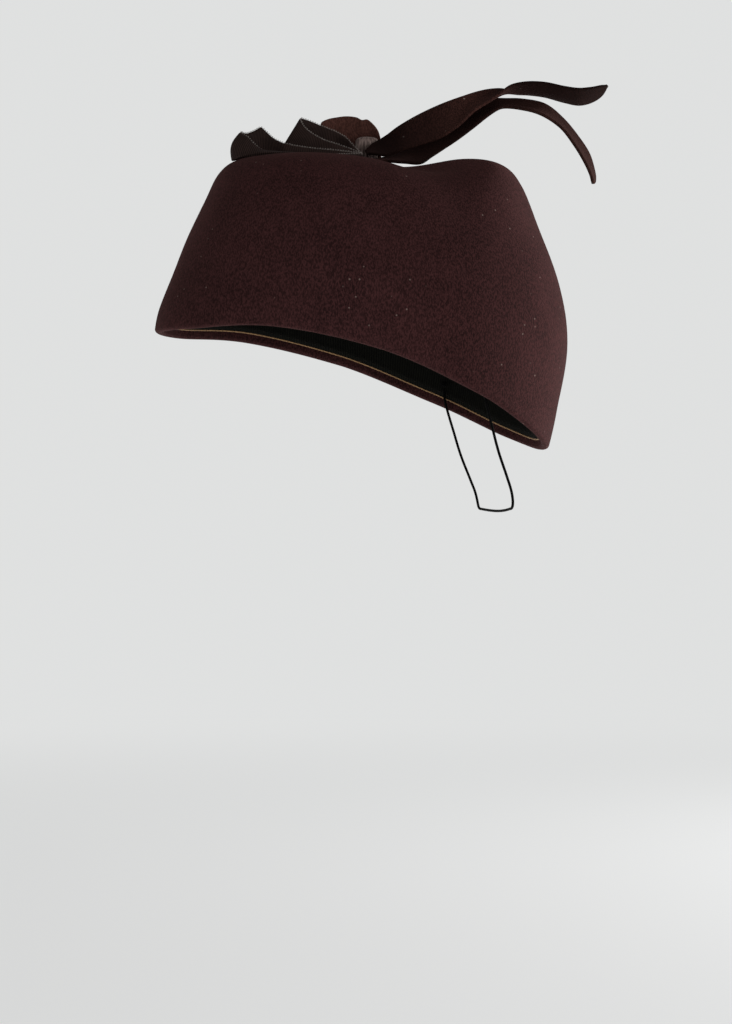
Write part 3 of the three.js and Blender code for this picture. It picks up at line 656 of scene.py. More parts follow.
def felt_points(turn, place, depth):
    """Points at a depth under the crown's outer face."""
    return crown_points(turn, place) - outward_at(crown_points, turn, place) * depth


def place_above(turn, height):
    """Section place that lies a height above the felt edge."""
    span = line_height(RIDGE_LINE, turn) - line_height(EDGE_LINE, turn)
    places = np.linspace(0, TOP_SECTION, 1401)
    rises = column_value(SECTIONS[:, 0], places, mirrored=False)
    return np.interp(height / span, rises, places)


def soft_wave(points, seed):
    """Slight unevenness of hand-blocked felt at each point, from -1 to 1."""
    start = Vector((seed, 0, 0))
    return np.array([noise.noise(Vector(point) / FELT_WAVE + start) for point in points])


def make_crown():
    """Outer face from the top to the edge, the turned-under hem, and the inner face back to the top."""
    hem_depth = 2 * FELT_WALL
    turn = np.arange(CROWN_COLUMNS) * 2 * math.pi / CROWN_COLUMNS
    up_the_wall = np.linspace(0, 1 - CROWN_POLE_GAP, CROWN_ROWS)

    def ring(height, depth):
        return felt_points(turn, place_above(turn, height), depth)

    def wall(share, start_height, depth):
        start = place_above(turn, start_height)
        return felt_points(turn, start + (LAST_SECTION - start) * share, depth)

    rows = [wall(share, EDGE_ROUNDING, 0) for share in up_the_wall[::-1]]
    for angle in np.radians((22.5, 45, 67.5, 90, 112.5, 135, 157.5)):
        depth = hem_depth / 2 * (1 - math.cos(angle))
        rows.append(ring(EDGE_ROUNDING * (1 - math.sin(angle)), depth))
    rows += [ring(height, hem_depth) for height in np.linspace(EDGE_ROUNDING, HEM_HEIGHT, 5)]
    lip = FELT_WALL / 2
    for angle in np.radians((30, 60, 90, 120, 150)):
        depth = hem_depth - lip * (1 - math.cos(angle))
        rows.append(ring(HEM_HEIGHT + lip * math.sin(angle), depth))
    rows += [wall(share, HEM_HEIGHT + HEM_GAP, FELT_WALL) for share in up_the_wall]
    points = np.concatenate(rows)
    shift = soft_wave(points, 3.7)[:, None] * FELT_WAVE_DEPTH
    points = points + unit(points * (1, 1, 0.4)) * shift
    poles = np.array([points[:CROWN_COLUMNS].mean(0), points[-CROWN_COLUMNS:].mean(0)])
    points, faces = close_with_poles(points, ring_faces(len(rows), CROWN_COLUMNS), CROWN_COLUMNS, poles)
    add_piece("crown_felt", points, outwards(points, faces), None, CROWN_FELT, ["crown"])


def make_sweatband():
    """Grosgrain ring with real ribs, thinner than its solid and in its place."""
    columns = 4 * BAND_RIBS
    turn = np.arange(columns) * 2 * math.pi / columns
    outer_depth = 2 * FELT_WALL + 2 * CLEARANCE
    crest = 0.5 + 0.5 * np.cos(turn * BAND_RIBS)
    levels = np.linspace(BAND_SETBACK, BAND_SETBACK + BAND_HEIGHT, 8)
    sag = BAND_SAG * np.sin(turn * 9 + 0.6)

    def ring(height, depth):
        return felt_points(turn, place_above(turn, height), np.broadcast_to(depth, turn.shape)[:, None])

    rows = [ring(level, outer_depth) for level in levels]
    inner_depth = outer_depth + BAND_THICKNESS - BAND_THINNING + RIB_HEIGHT * crest + sag
    rows += [ring(level, inner_depth) for level in levels[::-1]]
    points = np.concatenate(rows)
    along = np.broadcast_to(turn / (2 * math.pi) * BAND_RIBS * RIB_PITCH, (len(rows), columns))
    across = np.repeat(np.concatenate([levels, levels[::-1]])[:, None], columns, 1)
    faces = ring_faces(len(rows), columns, joined=True)
    uvs = np.stack([along.ravel(), across.ravel()], 1)
    add_piece("sweatband_grosgrain", points, outwards(points, faces), uvs, BAND_GROSGRAIN,
              ["sweatband"])


make_crown()
make_sweatband()


# Strips of ribbon and felt

def strip_mesh(near, far, thickness, width_steps, edge_steps, cup, relief=None):
    """Solid strip between two edges. cup(share, station) lifts the strip's middle surface and
    relief(share, station, side) each of its faces, in metres along the strip's normal."""
    stations = len(near)
    along = np.gradient(near + far, axis=0)
    width = np.linalg.norm(far - near, axis=1)
    across = (far - near) / width[:, None]
    normal = unit(np.cross(unit(along), across))
    middle = (near + far) / 2
    steps = np.linalg.norm(np.diff(middle, axis=0), axis=1)
    length = np.concatenate([[0], np.cumsum(steps)])
    half = thickness / 2
    shares = np.linspace(0, 1, width_steps + 1)
    turns = [math.pi * (k + 1) / (edge_steps + 1) for k in range(edge_steps)]
    # Kind of place, place across, height in half thicknesses
    outline = [("flat", share, 1.0) for share in shares]
    outline += [("far", math.sin(turn), math.cos(turn)) for turn in turns]
    outline += [("flat", share, -1.0) for share in shares[::-1]]
    outline += [("near", math.sin(turn), -math.cos(turn)) for turn in turns]
    columns = []
    uvs = []
    number = np.arange(stations)
    for kind, value, side in outline:
        inner = np.maximum(width - 2 * half, 0.2 * width)
        margin = (width - inner) / 2
        if kind == "flat":
            place = margin + value * inner
        elif kind == "far":
            place = margin + inner + value * margin
        else:
            place = margin - value * margin
        share = place / width
        extra = np.zeros(stations) if relief is None else relief(share, number, side)
        height = cup(share, number) + side * half + extra
        columns.append(near + across * place[:, None] + normal * height[:, None])
        uvs.append(np.stack([length, place], 1))
    points = np.stack(columns, 1)
    count = len(outline)
    faces = ring_faces(stations, count)
    faces += cap_faces(count, width_steps, edge_steps, 0)
    faces += [tuple(reversed(face)) for face in
              cap_faces(count, width_steps, edge_steps, (stations - 1) * count)]
    flat = points.reshape(-1, 3)
    return flat, outwards(flat, faces), np.stack(uvs, 1).reshape(-1, 2)


def cap_faces(count, width_steps, edge_steps, start):
    """Quads across a strip's end, between its two faces, with a rounded fan at each edge."""
    top = list(range(width_steps + 1))
    bottom = [2 * width_steps + 1 + edge_steps - k for k in range(width_steps + 1)]
    faces = [(top[k], bottom[k], bottom[k + 1], top[k + 1]) for k in range(width_steps)]
    far_side = [top[-1], *range(width_steps + 1, width_steps + 1 + edge_steps), bottom[-1]]
    near_side = [bottom[0], *range(count - edge_steps, count), top[0]]
    faces.append(tuple(reversed(far_side)))
    faces.append(tuple(reversed(near_side)))
    return [tuple(start + index for index in face) for face in faces]


CROWN_TREE = BVHTree.FromPolygons(
    [vertex.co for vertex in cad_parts["crown"].data.vertices],
    [tuple(polygon.vertices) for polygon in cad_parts["crown"].data.polygons],
)


def crown_top(side, along):
    """Height of the crown's top under a point."""
    above = Vector((side, along, 2 * CROWN_HEIGHT))
    return CROWN_TREE.ray_cast(above, Vector((0, 0, -1)))[0].z


KNOT_SEAT = crown_top(0, KNOT_ALONG)

# Loops: foot along, side, up, then top along, side, up, then bulge. Along is a share of the
# loop's reach towards the brow, the others are shares of the ribbon's width or the felt loop's
# height.
FRONT_LOOP = (
    (0, 0.26, 0.03, 0, 0.26, 0.25, 0),
    (0.075, 0.33, 0.05, 0.075, 0.3, 0.215, 0),
    (0.21, 0.6, 0.05, 0.21, 0.44, 0.17, 0),
    (0.375, 0.88, 0.05, 0.365, 0.53, 0.145, 0),
    (0.53, 1.02, 0.05, 0.515, 0.56, 0.13, 0),
    (0.66, 1.0, 0.05, 0.66, 0.56, 0.12, 0),
    (0.775, 0.92, 0.05, 0.76, 0.53, 0.18, 0),
    (0.875, 0.75, 0.04, 0.825, 0.47, 0.37, 0.04),
    (0.945, 0.53, 0.03, 0.87, 0.39, 0.59, 0.1),
    (0.98, 0.25, 0.03, 0.915, 0.23, 0.74, 0.14),
    (0.97, 0, 0.03, 0.91, 0, 0.79, 0.12),
    (0.905, -0.17, 0.03, 0.86, -0.22, 0.77, 0.06),
    (0.82, -0.25, 0.03, 0.79, -0.36, 0.87, 0),
    (0.775, -0.25, 0.03, 0.75, -0.39, 0.95, 0),
    (0.725, -0.21, 0.03, 0.72, -0.36, 0.85, 0),
    (0.65, -0.1, 0.03, 0.665, -0.24, 0.63, 0),
    (0.555, 0.06, 0.03, 0.58, -0.03, 0.455, 0),
    (0.39, 0.17, 0.03, 0.39, 0.11, 0.36, 0),
    (0.2, 0.17, 0.03, 0.2, 0.16, 0.32, 0),
    (0.07, 0.18, 0.03, 0.07, 0.18, 0.28, 0),
    (0, 0.19, 0.03, 0, 0.19, 0.275, 0),
)
MIDDLE_LOOP = (
    (0, 0.105, 0.03, 0, 0.105, 0.28, 0),
    (0.11, 0.09, 0.03, 0.135, 0.08, 0.385, 0),
    (0.285, 0.06, 0.03, 0.3, 0.04, 0.515, 0),
    (0.485, 0, 0.03, 0.45, -0.03, 0.625, 0),
    (0.68, -0.09, 0.03, 0.6, -0.12, 0.82, 0),
    (0.9, -0.2, 0.03, 0.69, -0.22, 0.995, 0),
    (1.02, -0.33, 0.03, 0.73, -0.31, 1.17, 0),
    (1.045, -0.46, 0.03, 0.73, -0.41, 1.28, 0),
    (0.97, -0.57, 0.03, 0.69, -0.5, 1.285, 0),
    (0.76, -0.64, 0.03, 0.58, -0.57, 1.23, 0),
    (0.53, -0.58, 0.03, 0.45, -0.54, 1.11, 0),
    (0.335, -0.42, 0.03, 0.3, -0.44, 0.965, 0),
    (0.185, -0.2, 0.03, 0.18, -0.25, 0.775, 0),
    (0.08, -0.02, 0.03, 0.09, -0.04, 0.51, 0),
    (0, 0.03, 0.03, 0, 0.03, 0.285, 0),
)
FELT_LOOP = (
    (0.18, -0.32, 0.02, 0.18, -0.32, 0.4, 0),
    (0.39, -0.39, 0.02, 0.365, -0.4, 0.535, 0),
    (0.6, -0.47, 0.02, 0.58, -0.48, 0.675, 0),
    (0.77, -0.56, 0.02, 0.735, -0.56, 0.81, 0),
    (0.8, -0.64, 0.02, 0.74, -0.64, 0.875, 0),
    (0.68, -0.71, 0.02, 0.62, -0.7, 0.94, 0),
    (0.43, -0.76, 0.02, 0.425, -0.77, 1.0, 0),
    (0.16, -0.76, 0.02, 0.175, -0.79, 1.05, 0),
    (-0.06, -0.74, 0.02, -0.04, -0.76, 1.05, 0),
    (-0.165, -0.7, 0.02, -0.145, -0.71, 1.01, 0),
    (-0.275, -0.67, 0.02, -0.26, -0.7, 1.04, 0),
    (-0.4, -0.62, 0.02, -0.38, -0.64, 0.965, 0),
    (-0.49, -0.55, 0.02, -0.465, -0.56, 0.84, 0),
    (-0.52, -0.48, 0.02, -0.49, -0.5, 0.68, 0),
    (-0.48, -0.42, 0.02, -0.45, -0.43, 0.56, 0),
)

# Tails: near along, side, up, then far along, side, up. Along is a share of the tail's reach
# towards the nape, side of TAIL_WIDTH, up of its rise above the knot's seat.
UPPER_TAIL = (
    (0.02, 0.24, 0.09, 0.02, -0.01, 0.14),
    (0.035, 0.28, 0.095, 0.035, -0.06, 0.19),
    (0.06, 0.32, 0.085, 0.055, -0.13, 0.245),
    (0.085, 0.33, 0.075, 0.085, -0.18, 0.3),
    (0.115, 0.31, 0.085, 0.12, -0.23, 0.37),
    (0.16, 0.28, 0.135, 0.16, -0.25, 0.46),
    (0.24, 0.26, 0.215, 0.245, -0.26, 0.61),
    (0.325, 0.27, 0.3, 0.345, -0.28, 0.75),
    (0.4, 0.3, 0.445, 0.43, -0.33, 0.845),
    (0.465, 0.35, 0.63, 0.51, -0.38, 0.92),
    (0.53, 0.39, 0.755, 0.565, -0.41, 0.95),
    (0.575, 0.41, 0.855, 0.61, -0.41, 0.95),
    (0.615, 0.4, 0.94, 0.655, -0.4, 0.905),
    (0.68, 0.4, 0.985, 0.715, -0.4, 0.895),
    (0.76, 0.39, 0.985, 0.785, -0.39, 0.87),
    (0.84, 0.37, 0.945, 0.865, -0.38, 0.81),
    (0.905, 0.33, 0.93, 0.93, -0.33, 0.775),
    (0.965, 0.25, 0.955, 0.985, -0.25, 0.815),
    (1.01, 0.12, 0.99, 1.02, -0.13, 0.89),
    (1.035, 0.03, 1.0, 1.035, -0.03, 0.985),
)
LOWER_TAIL = (
    (0.01, 0.7, 0.005, 0.015, 0.02, 0.045),
    (0.04, 0.72, 0, 0.045, -0.02, 0.05),
    (0.075, 0.72, -0.01, 0.085, -0.04, 0.075),
    (0.12, 0.72, -0.02, 0.14, -0.12, 0.145),
    (0.18, 0.64, -0.03, 0.205, -0.2, 0.26),
    (0.25, 0.54, -0.03, 0.265, -0.27, 0.385),
    (0.305, 0.38, 0.095, 0.315, -0.31, 0.55),
    (0.36, 0.32, 0.225, 0.375, -0.34, 0.71),
    (0.42, 0.32, 0.37, 0.445, -0.38, 0.87),
    (0.485, 0.33, 0.55, 0.515, -0.41, 0.98),
    (0.55, 0.35, 0.74, 0.565, -0.42, 1.05),
    (0.59, 0.38, 0.84, 0.61, -0.41, 1.08),
    (0.615, 0.4, 0.875, 0.655, -0.4, 1.08),
    (0.695, 0.4, 0.86, 0.725, -0.4, 1.08),
    (0.785, 0.39, 0.78, 0.83, -0.39, 1.01),
    (0.875, 0.37, 0.585, 0.91, -0.37, 0.79),
    (0.935, 0.35, 0.325, 0.98, -0.35, 0.495),
    (0.98, 0.32, 0.075, 1.025, -0.32, 0.245),
    (1.01, 0.28, -0.13, 1.045, -0.29, 0.01),
    (1.02, 0.23, -0.235, 1.05, -0.24, -0.13),
    (1.025, 0.17, -0.27, 1.045, -0.17, -0.21),
)


def loop_edges(rows, reach, size):
    """Knots of a loop's two edges. A loop stands on the crown."""
    edges = []
    for first in (0, 3):
        knots = []
        for row in rows:
            along = KNOT_ALONG - row[first] * reach
            side = row[first + 1] * size
            rise = row[first + 2] * size + CLEARANCE
            knots.append((side, along, crown_top(side, along) + rise))
        edges.append(np.array(knots))
    return edges


def tail_edges(rows, reach, rise):
    """Knots of a tail's two edges. A tail starts at the knot's seat."""
    edges = []
    for first in (0, 3):
        along, side, up = np.array(rows)[:, first:first + 3].T
        edges.append(np.stack([side * TAIL_WIDTH, KNOT_ALONG + along * reach, KNOT_SEAT + up * rise], 1))
    return edges


CURVE_SAMPLES = 2001


def even_shares(edges, count):
    """Shares along the curves that are evenly spaced on the line midway between the two edges,
    and that line's length."""
    fine = np.linspace(0, 1, CURVE_SAMPLES)
    middle = (smooth_curve(edges[0], fine) + smooth_curve(edges[1], fine)) / 2
    run = np.concatenate([[0], np.cumsum(np.linalg.norm(np.diff(middle, axis=0), axis=1))])
    return np.interp(np.linspace(0, run[-1], count), run, fine), run[-1]


RIB_STEPS = 4
RIBBON_WIDTH_STEPS = 8


def make_ribbon_loop(name, rows, reach, stands_for):
    """Ribbon loop with real ribs. Gives back its two edges."""
    edges = loop_edges(rows, reach, RIBBON_WIDTH)
    length = even_shares(edges, 2)[1]
    ribs = round(length / RIB_PITCH)
    shares, _ = even_shares(edges, ribs * RIB_STEPS + 1)
    near, far = (smooth_curve(edge, shares) for edge in edges)
    bulge_column = [row[6] for row in rows]
    bulges = RIBBON_WIDTH * column_value(bulge_column, shares * (len(rows) - 1), mirrored=False)

    def cup(share, station):
        return -bulges * np.sin(np.pi * share)

    def relief(share, station, side):
        return side * RIB_HEIGHT * -0.5 * np.cos(2 * np.pi * station / RIB_STEPS)

    points, faces, uvs = strip_mesh(near, far, RIBBON_THICKNESS, RIBBON_WIDTH_STEPS, 1, cup, relief)
    uvs[:, 0] *= ribs * RIB_PITCH / length
    add_piece(name, points, faces, uvs, GROSGRAIN, [stands_for])
    return near, far


FELT_STATIONS = 150
FELT_WIDTH_STEPS = 14
FELT_EDGE_STEPS = 5
FELT_THINNING = 0.3 * MM


def make_felt_strip(name, edges, stands_for, finish, cup_depth=0.0):
    """Soft felt strip with rounded edges, a little thinner than its solid."""
    shares, _ = even_shares(edges, FELT_STATIONS)
    near, far = (smooth_curve(edge, shares) for edge in edges)

    def cup(share, station):
        return -cup_depth * np.sin(np.pi * shares) * np.sin(np.pi * share)

    points, faces, uvs = strip_mesh(near, far, TRIM_FELT - FELT_THINNING, FELT_WIDTH_STEPS,
                                    FELT_EDGE_STEPS, cup)
    add_piece(name, points, faces, uvs, finish, [stands_for])


# Soft cloth knot from its foot to its top: share of its height, share of its length and depth
WRAP_LEVELS = np.array([
    (0.0, 0.82),
    (0.35, 0.92),
    (0.68, 1.0),
    (0.86, 0.94),
    (0.95, 0.76),
    (0.99, 0.42),
    (1.0, 0.0),
])
WRAP_COLUMNS = 120
WRAP_ROWS = 48
WRAP_CREASES = 19
WRAP_TWIST = 0.35


def make_wrap():
    """Gathered cloth knot behind the place where the ribbons and tails meet."""
    middle = KNOT_ALONG + WRAP_ALONG
    floor = max(crown_top(-WRAP_SETBACK + across * WRAP_DEPTH, middle + lengthwise * WRAP_LENGTH)
                for across in (-0.5, 0.5) for lengthwise in (-0.5, 0.5)) + CLEARANCE
    places = np.linspace(0, len(WRAP_LEVELS) - 1, WRAP_ROWS + 1)[:-1]
    rise, spread = (column_value(WRAP_LEVELS[:, column], places, mirrored=False)[:, None]
                    for column in (0, 1))
    rise = np.minimum(rise, 1)
    turn = (np.arange(WRAP_COLUMNS) * 2 * math.pi / WRAP_COLUMNS)[None, :]
    lean = turn + WRAP_TWIST * rise
    fold = np.cos(WRAP_FOLDS * turn) - 1 + 0.5 * np.sin(WRAP_CREASES * lean) * (1.1 - rise)
    reach = spread * (1 + WRAP_FOLD_DEPTH * fold) / 2
    points = np.stack([
        -WRAP_SETBACK + reach * WRAP_DEPTH * np.cos(turn),
        middle + reach * WRAP_LENGTH * np.sin(turn),
        floor + np.broadcast_to(rise, reach.shape) * WRAP_HEIGHT,
    ], -1).reshape(-1, 3)
    poles = np.array([(-WRAP_SETBACK, middle, floor), (-WRAP_SETBACK, middle, floor + WRAP_HEIGHT)])
    points, faces = close_with_poles(points, ring_faces(WRAP_ROWS, WRAP_COLUMNS), WRAP_COLUMNS, poles)
    add_piece("knot_wrap_cloth", points, outwards(points, faces), None, TAUPE_CLOTH,
              ["knot_wrap"])


front_edges = make_ribbon_loop(
    "ribbon_loop_front_grosgrain", FRONT_LOOP, FRONT_LOOP_REACH, "ribbon_loop_front")
middle_edges = make_ribbon_loop(
    "ribbon_loop_middle_grosgrain", MIDDLE_LOOP, MIDDLE_LOOP_REACH, "ribbon_loop_middle")
felt_edges = loop_edges(FELT_LOOP, FELT_LOOP_REACH, FELT_LOOP_HEIGHT)
upper_edges = tail_edges(UPPER_TAIL, UPPER_TAIL_REACH, UPPER_TAIL_RISE)
lower_edges = tail_edges(LOWER_TAIL, LOWER_TAIL_REACH, LOWER_TAIL_RISE)
make_felt_strip("felt_loop_cloth", felt_edges, "felt_loop", LOOP_FELT)
make_felt_strip("tail_upper_felt", upper_edges, "tail_upper", UPPER_TAIL_FELT, TAIL_CUP)
make_felt_strip("tail_lower_felt", lower_edges, "tail_lower", LOWER_TAIL_FELT, TAIL_CUP)
make_wrap()


# Rows of repeated thread, grown along a line by Geometry Nodes

def link_nodes(tree, *pairs):
    for start, end in pairs:
        tree.links.new(start, end)


def thread_row_tree(name, add_unit):
    """Copies one unit along a line at an even pitch, turned with the line and with the cloth."""
    tree = bpy.data.node_groups.new(name, "GeometryNodeTree")
    for label, kind, value in (
            ("Line", "NodeSocketGeometry", None), ("Pitch", "NodeSocketFloat", 1 * MM),
            ("Unit Length", "NodeSocketFloat", 1 * MM), ("Thread Radius", "NodeSocketFloat", 0.1 * MM),
            ("Unevenness", "NodeSocketFloat", 0.1), ("Seed", "NodeSocketInt", 1),
            ("Finish", "NodeSocketMaterial", None)):
        socket = tree.interface.new_socket(label, in_out="INPUT", socket_type=kind)
        if value is not None:
            socket.default_value = value
    tree.interface.new_socket("Threads", in_out="OUTPUT", socket_type="NodeSocketGeometry")
    nodes = tree.nodes
    ins = nodes.new("NodeGroupInput").outputs
    outs = nodes.new("NodeGroupOutput").inputs
    line = nodes.new("GeometryNodeMeshToCurve")
    spaced = nodes.new("GeometryNodeResampleCurve")
    spaced.mode = "LENGTH"
    tangent = nodes.new("GeometryNodeInputTangent")
    outward = nodes.new("GeometryNodeInputNamedAttribute")
    outward.data_type = "FLOAT_VECTOR"
    outward.inputs["Name"].default_value = "cloth_normal"
    turned = nodes.new("FunctionNodeAxesToRotation")
    turned.primary_axis = "Z"
    turned.secondary_axis = "X"
    uneven = nodes.new("FunctionNodeRandomValue")
    uneven.data_type = "FLOAT"
    least, most = (nodes.new("ShaderNodeMath") for _ in range(2))
    least.operation = "SUBTRACT"
    most.operation = "ADD"
    for node in (least, most):
        node.inputs[0].default_value = 1
        tree.links.new(ins["Unevenness"], node.inputs[1])
    float_inputs = [socket for socket in uneven.inputs if socket.type == "VALUE" and socket.enabled]
    scatter = nodes.new("GeometryNodeInstanceOnPoints")
    real = nodes.new("GeometryNodeRealizeInstances")
    smooth = nodes.new("GeometryNodeSetShadeSmooth")
    dyed = nodes.new("GeometryNodeSetMaterial")
    uneven_value = next(socket for socket in uneven.outputs if socket.enabled)
    link_nodes(
        tree,
        (ins["Line"], line.inputs["Mesh"]),
        (line.outputs["Curve"], spaced.inputs["Curve"]),
        (ins["Pitch"], spaced.inputs["Length"]),
        (outward.outputs["Attribute"], turned.inputs["Primary Axis"]),
        (tangent.outputs["Tangent"], turned.inputs["Secondary Axis"]),
        (least.outputs["Value"], float_inputs[0]),
        (most.outputs["Value"], float_inputs[1]),
        (ins["Seed"], uneven.inputs["Seed"]),
        (spaced.outputs["Curve"], scatter.inputs["Points"]),
        (add_unit(tree, ins), scatter.inputs["Instance"]),
        (turned.outputs["Rotation"], scatter.inputs["Rotation"]),
        (uneven_value, scatter.inputs["Scale"]),
        (scatter.outputs["Instances"], real.inputs["Geometry"]),
        (real.outputs["Geometry"], smooth.inputs["Geometry"]),
        (smooth.outputs["Geometry"], dyed.inputs["Geometry"]),
        (ins["Finish"], dyed.inputs["Material"]),
        (dyed.outputs["Geometry"], outs["Threads"]),
    )
    return tree


PICOT_RESOLUTION = 10
PICOT_THREAD_SIDES = 5
STITCH_SEGMENTS = 8
STITCH_RINGS = 6


def shown_input(node, name):
    """The input of that name which the node's present mode uses."""
    return next(socket for socket in node.inputs if socket.name == name and socket.enabled)


def add_picot(tree, ins):
    """Little loop of thread that lies flat in the cloth."""
    loop = tree.nodes.new("GeometryNodeCurvePrimitiveCircle")
    loop.inputs["Resolution"].default_value = PICOT_RESOLUTION
    thread = tree.nodes.new("GeometryNodeCurvePrimitiveCircle")
    thread.inputs["Resolution"].default_value = PICOT_THREAD_SIDES
    radius = tree.nodes.new("ShaderNodeMath")
    radius.operation = "MULTIPLY"
    radius.inputs[1].default_value = 0.5
    tube = tree.nodes.new("GeometryNodeCurveToMesh")
    link_nodes(
        tree,
        (ins["Unit Length"], radius.inputs[0]),
        (radius.outputs["Value"], shown_input(loop, "Radius")),
        (ins["Thread Radius"], shown_input(thread, "Radius")),
        (loop.outputs["Curve"], tube.inputs["Curve"]),
        (thread.outputs["Curve"], tube.inputs["Profile Curve"]),
    )
    return tube.outputs["Mesh"]


def add_stitch(tree, ins):
    """Short straight stitch with tucked-in ends."""
    ball = tree.nodes.new("GeometryNodeMeshUVSphere")
    ball.inputs["Segments"].default_value = STITCH_SEGMENTS
    ball.inputs["Rings"].default_value = STITCH_RINGS
    ball.inputs["Radius"].default_value = 1
    half = tree.nodes.new("ShaderNodeMath")
    half.operation = "MULTIPLY"
    half.inputs[1].default_value = 0.5
    size = tree.nodes.new("ShaderNodeCombineXYZ")
    drawn = tree.nodes.new("GeometryNodeTransform")
    link_nodes(
        tree,
        (ins["Unit Length"], half.inputs[0]),
        (half.outputs["Value"], size.inputs["X"]),
        (ins["Thread Radius"], size.inputs["Y"]),
        (ins["Thread Radius"], size.inputs["Z"]),
        (ball.outputs["Mesh"], drawn.inputs["Geometry"]),
        (size.outputs["Vector"], drawn.inputs["Scale"]),
    )
    return drawn.outputs["Geometry"]


PICOTS = thread_row_tree("picot_row", add_picot)
STITCHES = thread_row_tree("stitch_row", add_stitch)


def grow_row(name, tree, points, normals, closed, slot, **settings):
    """One plain mesh of threads along a line on the cloth. The settings are the tree's inputs."""
    mesh = bpy.data.meshes.new(name)
    count = len(points)
    steps = [(k, (k + 1) % count) for k in range(count if closed else count - 1)]
    mesh.from_pydata(points.tolist(), steps, [])
    facing = mesh.attributes.new("cloth_normal", "FLOAT_VECTOR", "POINT")
    facing.data.foreach_set("vector", np.ascontiguousarray(normals, np.float32).ravel())
    row = bpy.data.objects.new(name, mesh)
    bpy.context.collection.objects.link(row)
    grower = row.modifiers.new(name, "NODES")
    grower.node_group = tree
    for item in tree.interface.items_tree:
        if item.in_out == "INPUT" and item.name in settings:
            grower[item.identifier] = settings[item.name]
    row.update_tag()
    evaluated = row.evaluated_get(bpy.context.evaluated_depsgraph_get())
    grown = bpy.data.meshes.new_from_object(evaluated)
    grown.name = name
    row.modifiers.clear()
    row.data = grown
    dress(row)


def make_picots(name, near, far, seed):
    """Row of thread loops along a ribbon loop's free edge."""
    along = np.gradient(near + far, axis=0)
    across = unit(far - near)
    normals = unit(np.cross(along, across))
    grow_row(f"{name}_picots", PICOTS, far + across * PICOT_REACH, normals, False, "grosgrain",
             **{"Pitch": PICOT_PITCH, "Unit Length": PICOT_SIZE, "Thread Radius": PICOT_THREAD_RADIUS,
                "Unevenness": 0.14, "Seed": seed, "Finish": PICOT_THREAD})


STITCH_LINE_POINTS = 720


def make_band_stitches():
    """Row of stitches low on the inside of the sweatband."""
    turn = np.arange(STITCH_LINE_POINTS) * 2 * math.pi / STITCH_LINE_POINTS
    face_depth = 2 * FELT_WALL + 2 * CLEARANCE + BAND_THICKNESS
    place = place_above(turn, BAND_SETBACK + STITCH_HEIGHT)
    line = felt_points(turn, place, face_depth)
    normals = outward_at(crown_points, turn, place)
    grow_row("sweatband_stitches", STITCHES, line, normals, True, "grosgrain",
             **{"Pitch": STITCH_PITCH, "Unit Length": STITCH_LENGTH, "Thread Radius": STITCH_RADIUS,
                "Unevenness": 0.15, "Seed": 11, "Finish": DARK_THREAD})


CORD_COLUMNS = 1440
CORD_SIDES = 8
CORD_TWISTS = 240
CORD_SWELL = 0.12


def make_edge_cord():
    """Twisted tan cord along the sweatband's lower edge."""
    turn = np.arange(CORD_COLUMNS) * 2 * math.pi / CORD_COLUMNS
    centre_depth = 2 * FELT_WALL + 2 * CLEARANCE + BAND_THICKNESS / 2
    rows = []
    for side in range(CORD_SIDES):
        angle = 2 * math.pi * side / CORD_SIDES
        swell = 1 + CORD_SWELL * np.cos(2 * angle + turn * CORD_TWISTS)
        radius = EDGE_CORD / 2 * swell
        height = BAND_SETBACK - EDGE_CORD / 2 + radius * math.sin(angle)
        depth = centre_depth + radius * math.cos(angle)
        rows.append(felt_points(turn, place_above(turn, height), depth[:, None]))
    points = np.concatenate(rows)
    faces = ring_faces(CORD_SIDES, CORD_COLUMNS, joined=True)
    add_piece("sweatband_edge_cord", points, outwards(points, faces), None, TAN_THREAD)


make_picots("ribbon_loop_front", *front_edges, 3)
make_picots("ribbon_loop_middle", *middle_edges, 7)
make_band_stitches()
make_edge_cord()


# Elastic at the nape, wearer's left half and the point behind the nape, in millimetres
ELASTIC_ROUTE = (
    (59.6, 54, 4),
    (59, 54.4, -2),
    (58, 55.6, -8),
    (56.4, 58.6, -19),
    (54.6, 62.6, -33),
    (52.6, 67.4, -46),
    (51.2, 69.9, -53),
    (50.2, 70.9, -57.6),
    (48.6, 71.2, -60.6),
    (45.5, 71.3, -62),
    (38, 71.6, -62.5),
    (20, 72.4, -63.2),
)
ELASTIC_MIDDLE = (0, 72.7, -63.5)
ELASTIC_STEP = 0.3 * MM
ELASTIC_SIDES = 16
BRAID_PITCH = 2.4 * MM
ELASTIC_KNOT_STATIONS = 90
ELASTIC_KNOT_SIDES = 10


def tube_points(line, normals, binormals, radius, angle):
    """Points of a tube round a line, ring after ring."""
    outward = (normals[:, None] * np.cos(angle)[:, None]
               + binormals[:, None] * np.sin(angle)[:, None])
    return (line[:, None] + radius * outward).reshape(-1, 3)


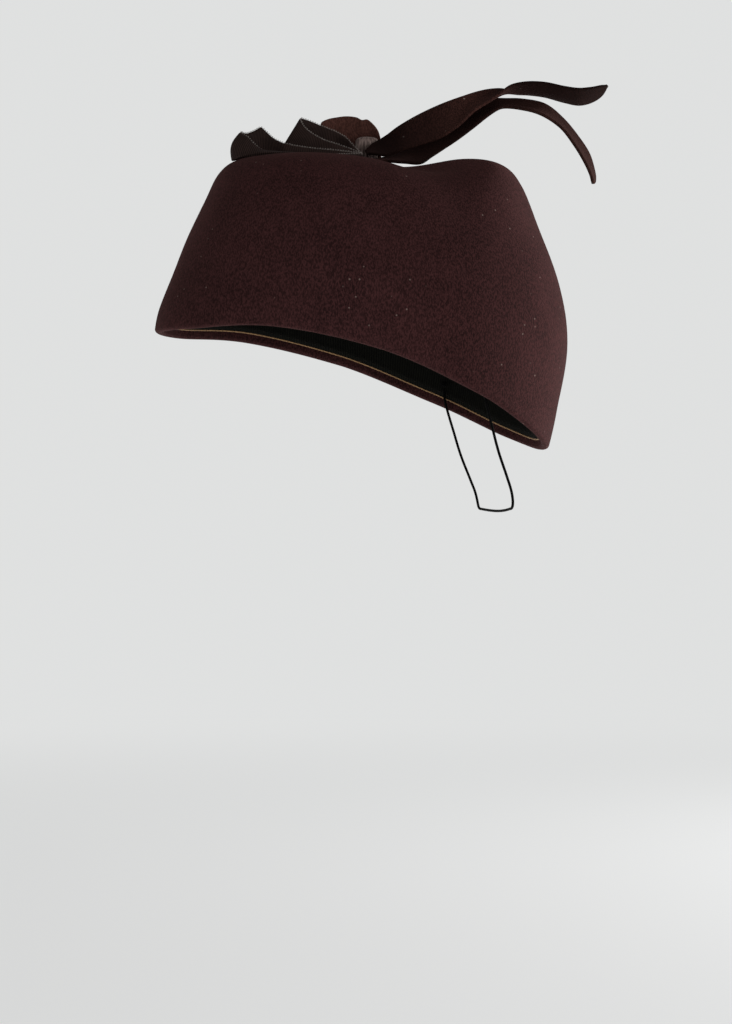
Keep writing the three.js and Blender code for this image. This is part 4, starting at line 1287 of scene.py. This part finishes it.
def make_elastic():
    """Braided cover over the elastic, and its two knots inside the hat."""
    left = np.array(ELASTIC_ROUTE) * MM
    right = (left * (-1, 1, 1))[::-1]
    knots = np.vstack([left, np.array([ELASTIC_MIDDLE]) * MM, right])
    route = (knots, knots)
    length = even_shares(route, 2)[1]
    stations = round(length / ELASTIC_STEP)
    line = smooth_curve(knots, even_shares(route, stations)[0])
    tangent = unit(np.gradient(line, axis=0))
    angle = np.arange(ELASTIC_SIDES) * 2 * math.pi / ELASTIC_SIDES
    across = unit(np.cross(tangent, (0.31, 0.83, 0.46)))
    normals = [across[0]]
    for step in range(1, stations):
        carried = normals[-1] - tangent[step] * np.dot(normals[-1], tangent[step])
        normals.append(carried / np.linalg.norm(carried))
    normals = np.array(normals)
    binormals = np.cross(tangent, normals)
    travel = np.linspace(0, length, stations)[:, None]
    strand = 2 * math.pi * travel / BRAID_PITCH
    braid = np.abs(np.sin(4 * angle + strand)) + np.abs(np.sin(4 * angle - strand))
    radius = (ELASTIC_DIAMETER / 2 * (0.97 + 0.02 * braid))[..., None]
    points = tube_points(line, normals, binormals, radius, angle)
    faces = ring_faces(stations, ELASTIC_SIDES)
    faces.append(tuple(range(ELASTIC_SIDES)))
    faces.append(tuple(reversed(range(len(points) - ELASTIC_SIDES, len(points)))))
    cord = add_piece("elastic", points, outwards(points, faces), None, BLACK_ELASTIC,
                     ["elastic_cord"])
    ends = [make_elastic_knot("knot_left", 1, "elastic_knot_left"),
            make_elastic_knot("knot_right", -1, "elastic_knot_right")]


def make_elastic_knot(name, wearer_side, stands_for):
    """Overhand knot: a cord that winds round in a trefoil, packed tight."""
    centre = np.array(ELASTIC_ROUTE[0]) * (wearer_side, 1, 1) * MM
    centre[2] += CLEARANCE + KNOT_DIAMETER / 2
    turn = np.arange(ELASTIC_KNOT_STATIONS) * 2 * math.pi / ELASTIC_KNOT_STATIONS
    line = np.stack([
        np.sin(turn) + 2 * np.sin(2 * turn),
        np.cos(turn) - 2 * np.cos(2 * turn),
        -np.sin(3 * turn) * 1.6,
    ], 1) * (KNOT_DIAMETER / 2 - ELASTIC_DIAMETER / 2) / 3 + centre
    tangent = unit(np.roll(line, -1, 0) - np.roll(line, 1, 0))
    across = unit(line - centre)
    normal = unit(across - tangent * np.sum(across * tangent, 1, keepdims=True))
    binormal = np.cross(tangent, normal)
    angle = np.arange(ELASTIC_KNOT_SIDES) * 2 * math.pi / ELASTIC_KNOT_SIDES
    points = tube_points(line, normal, binormal, ELASTIC_DIAMETER / 2, angle)
    faces = ring_faces(ELASTIC_KNOT_STATIONS, ELASTIC_KNOT_SIDES, joined=True)
    return add_piece(name, points, outwards(points, faces), None, BLACK_ELASTIC,
                     [stands_for])


make_elastic()
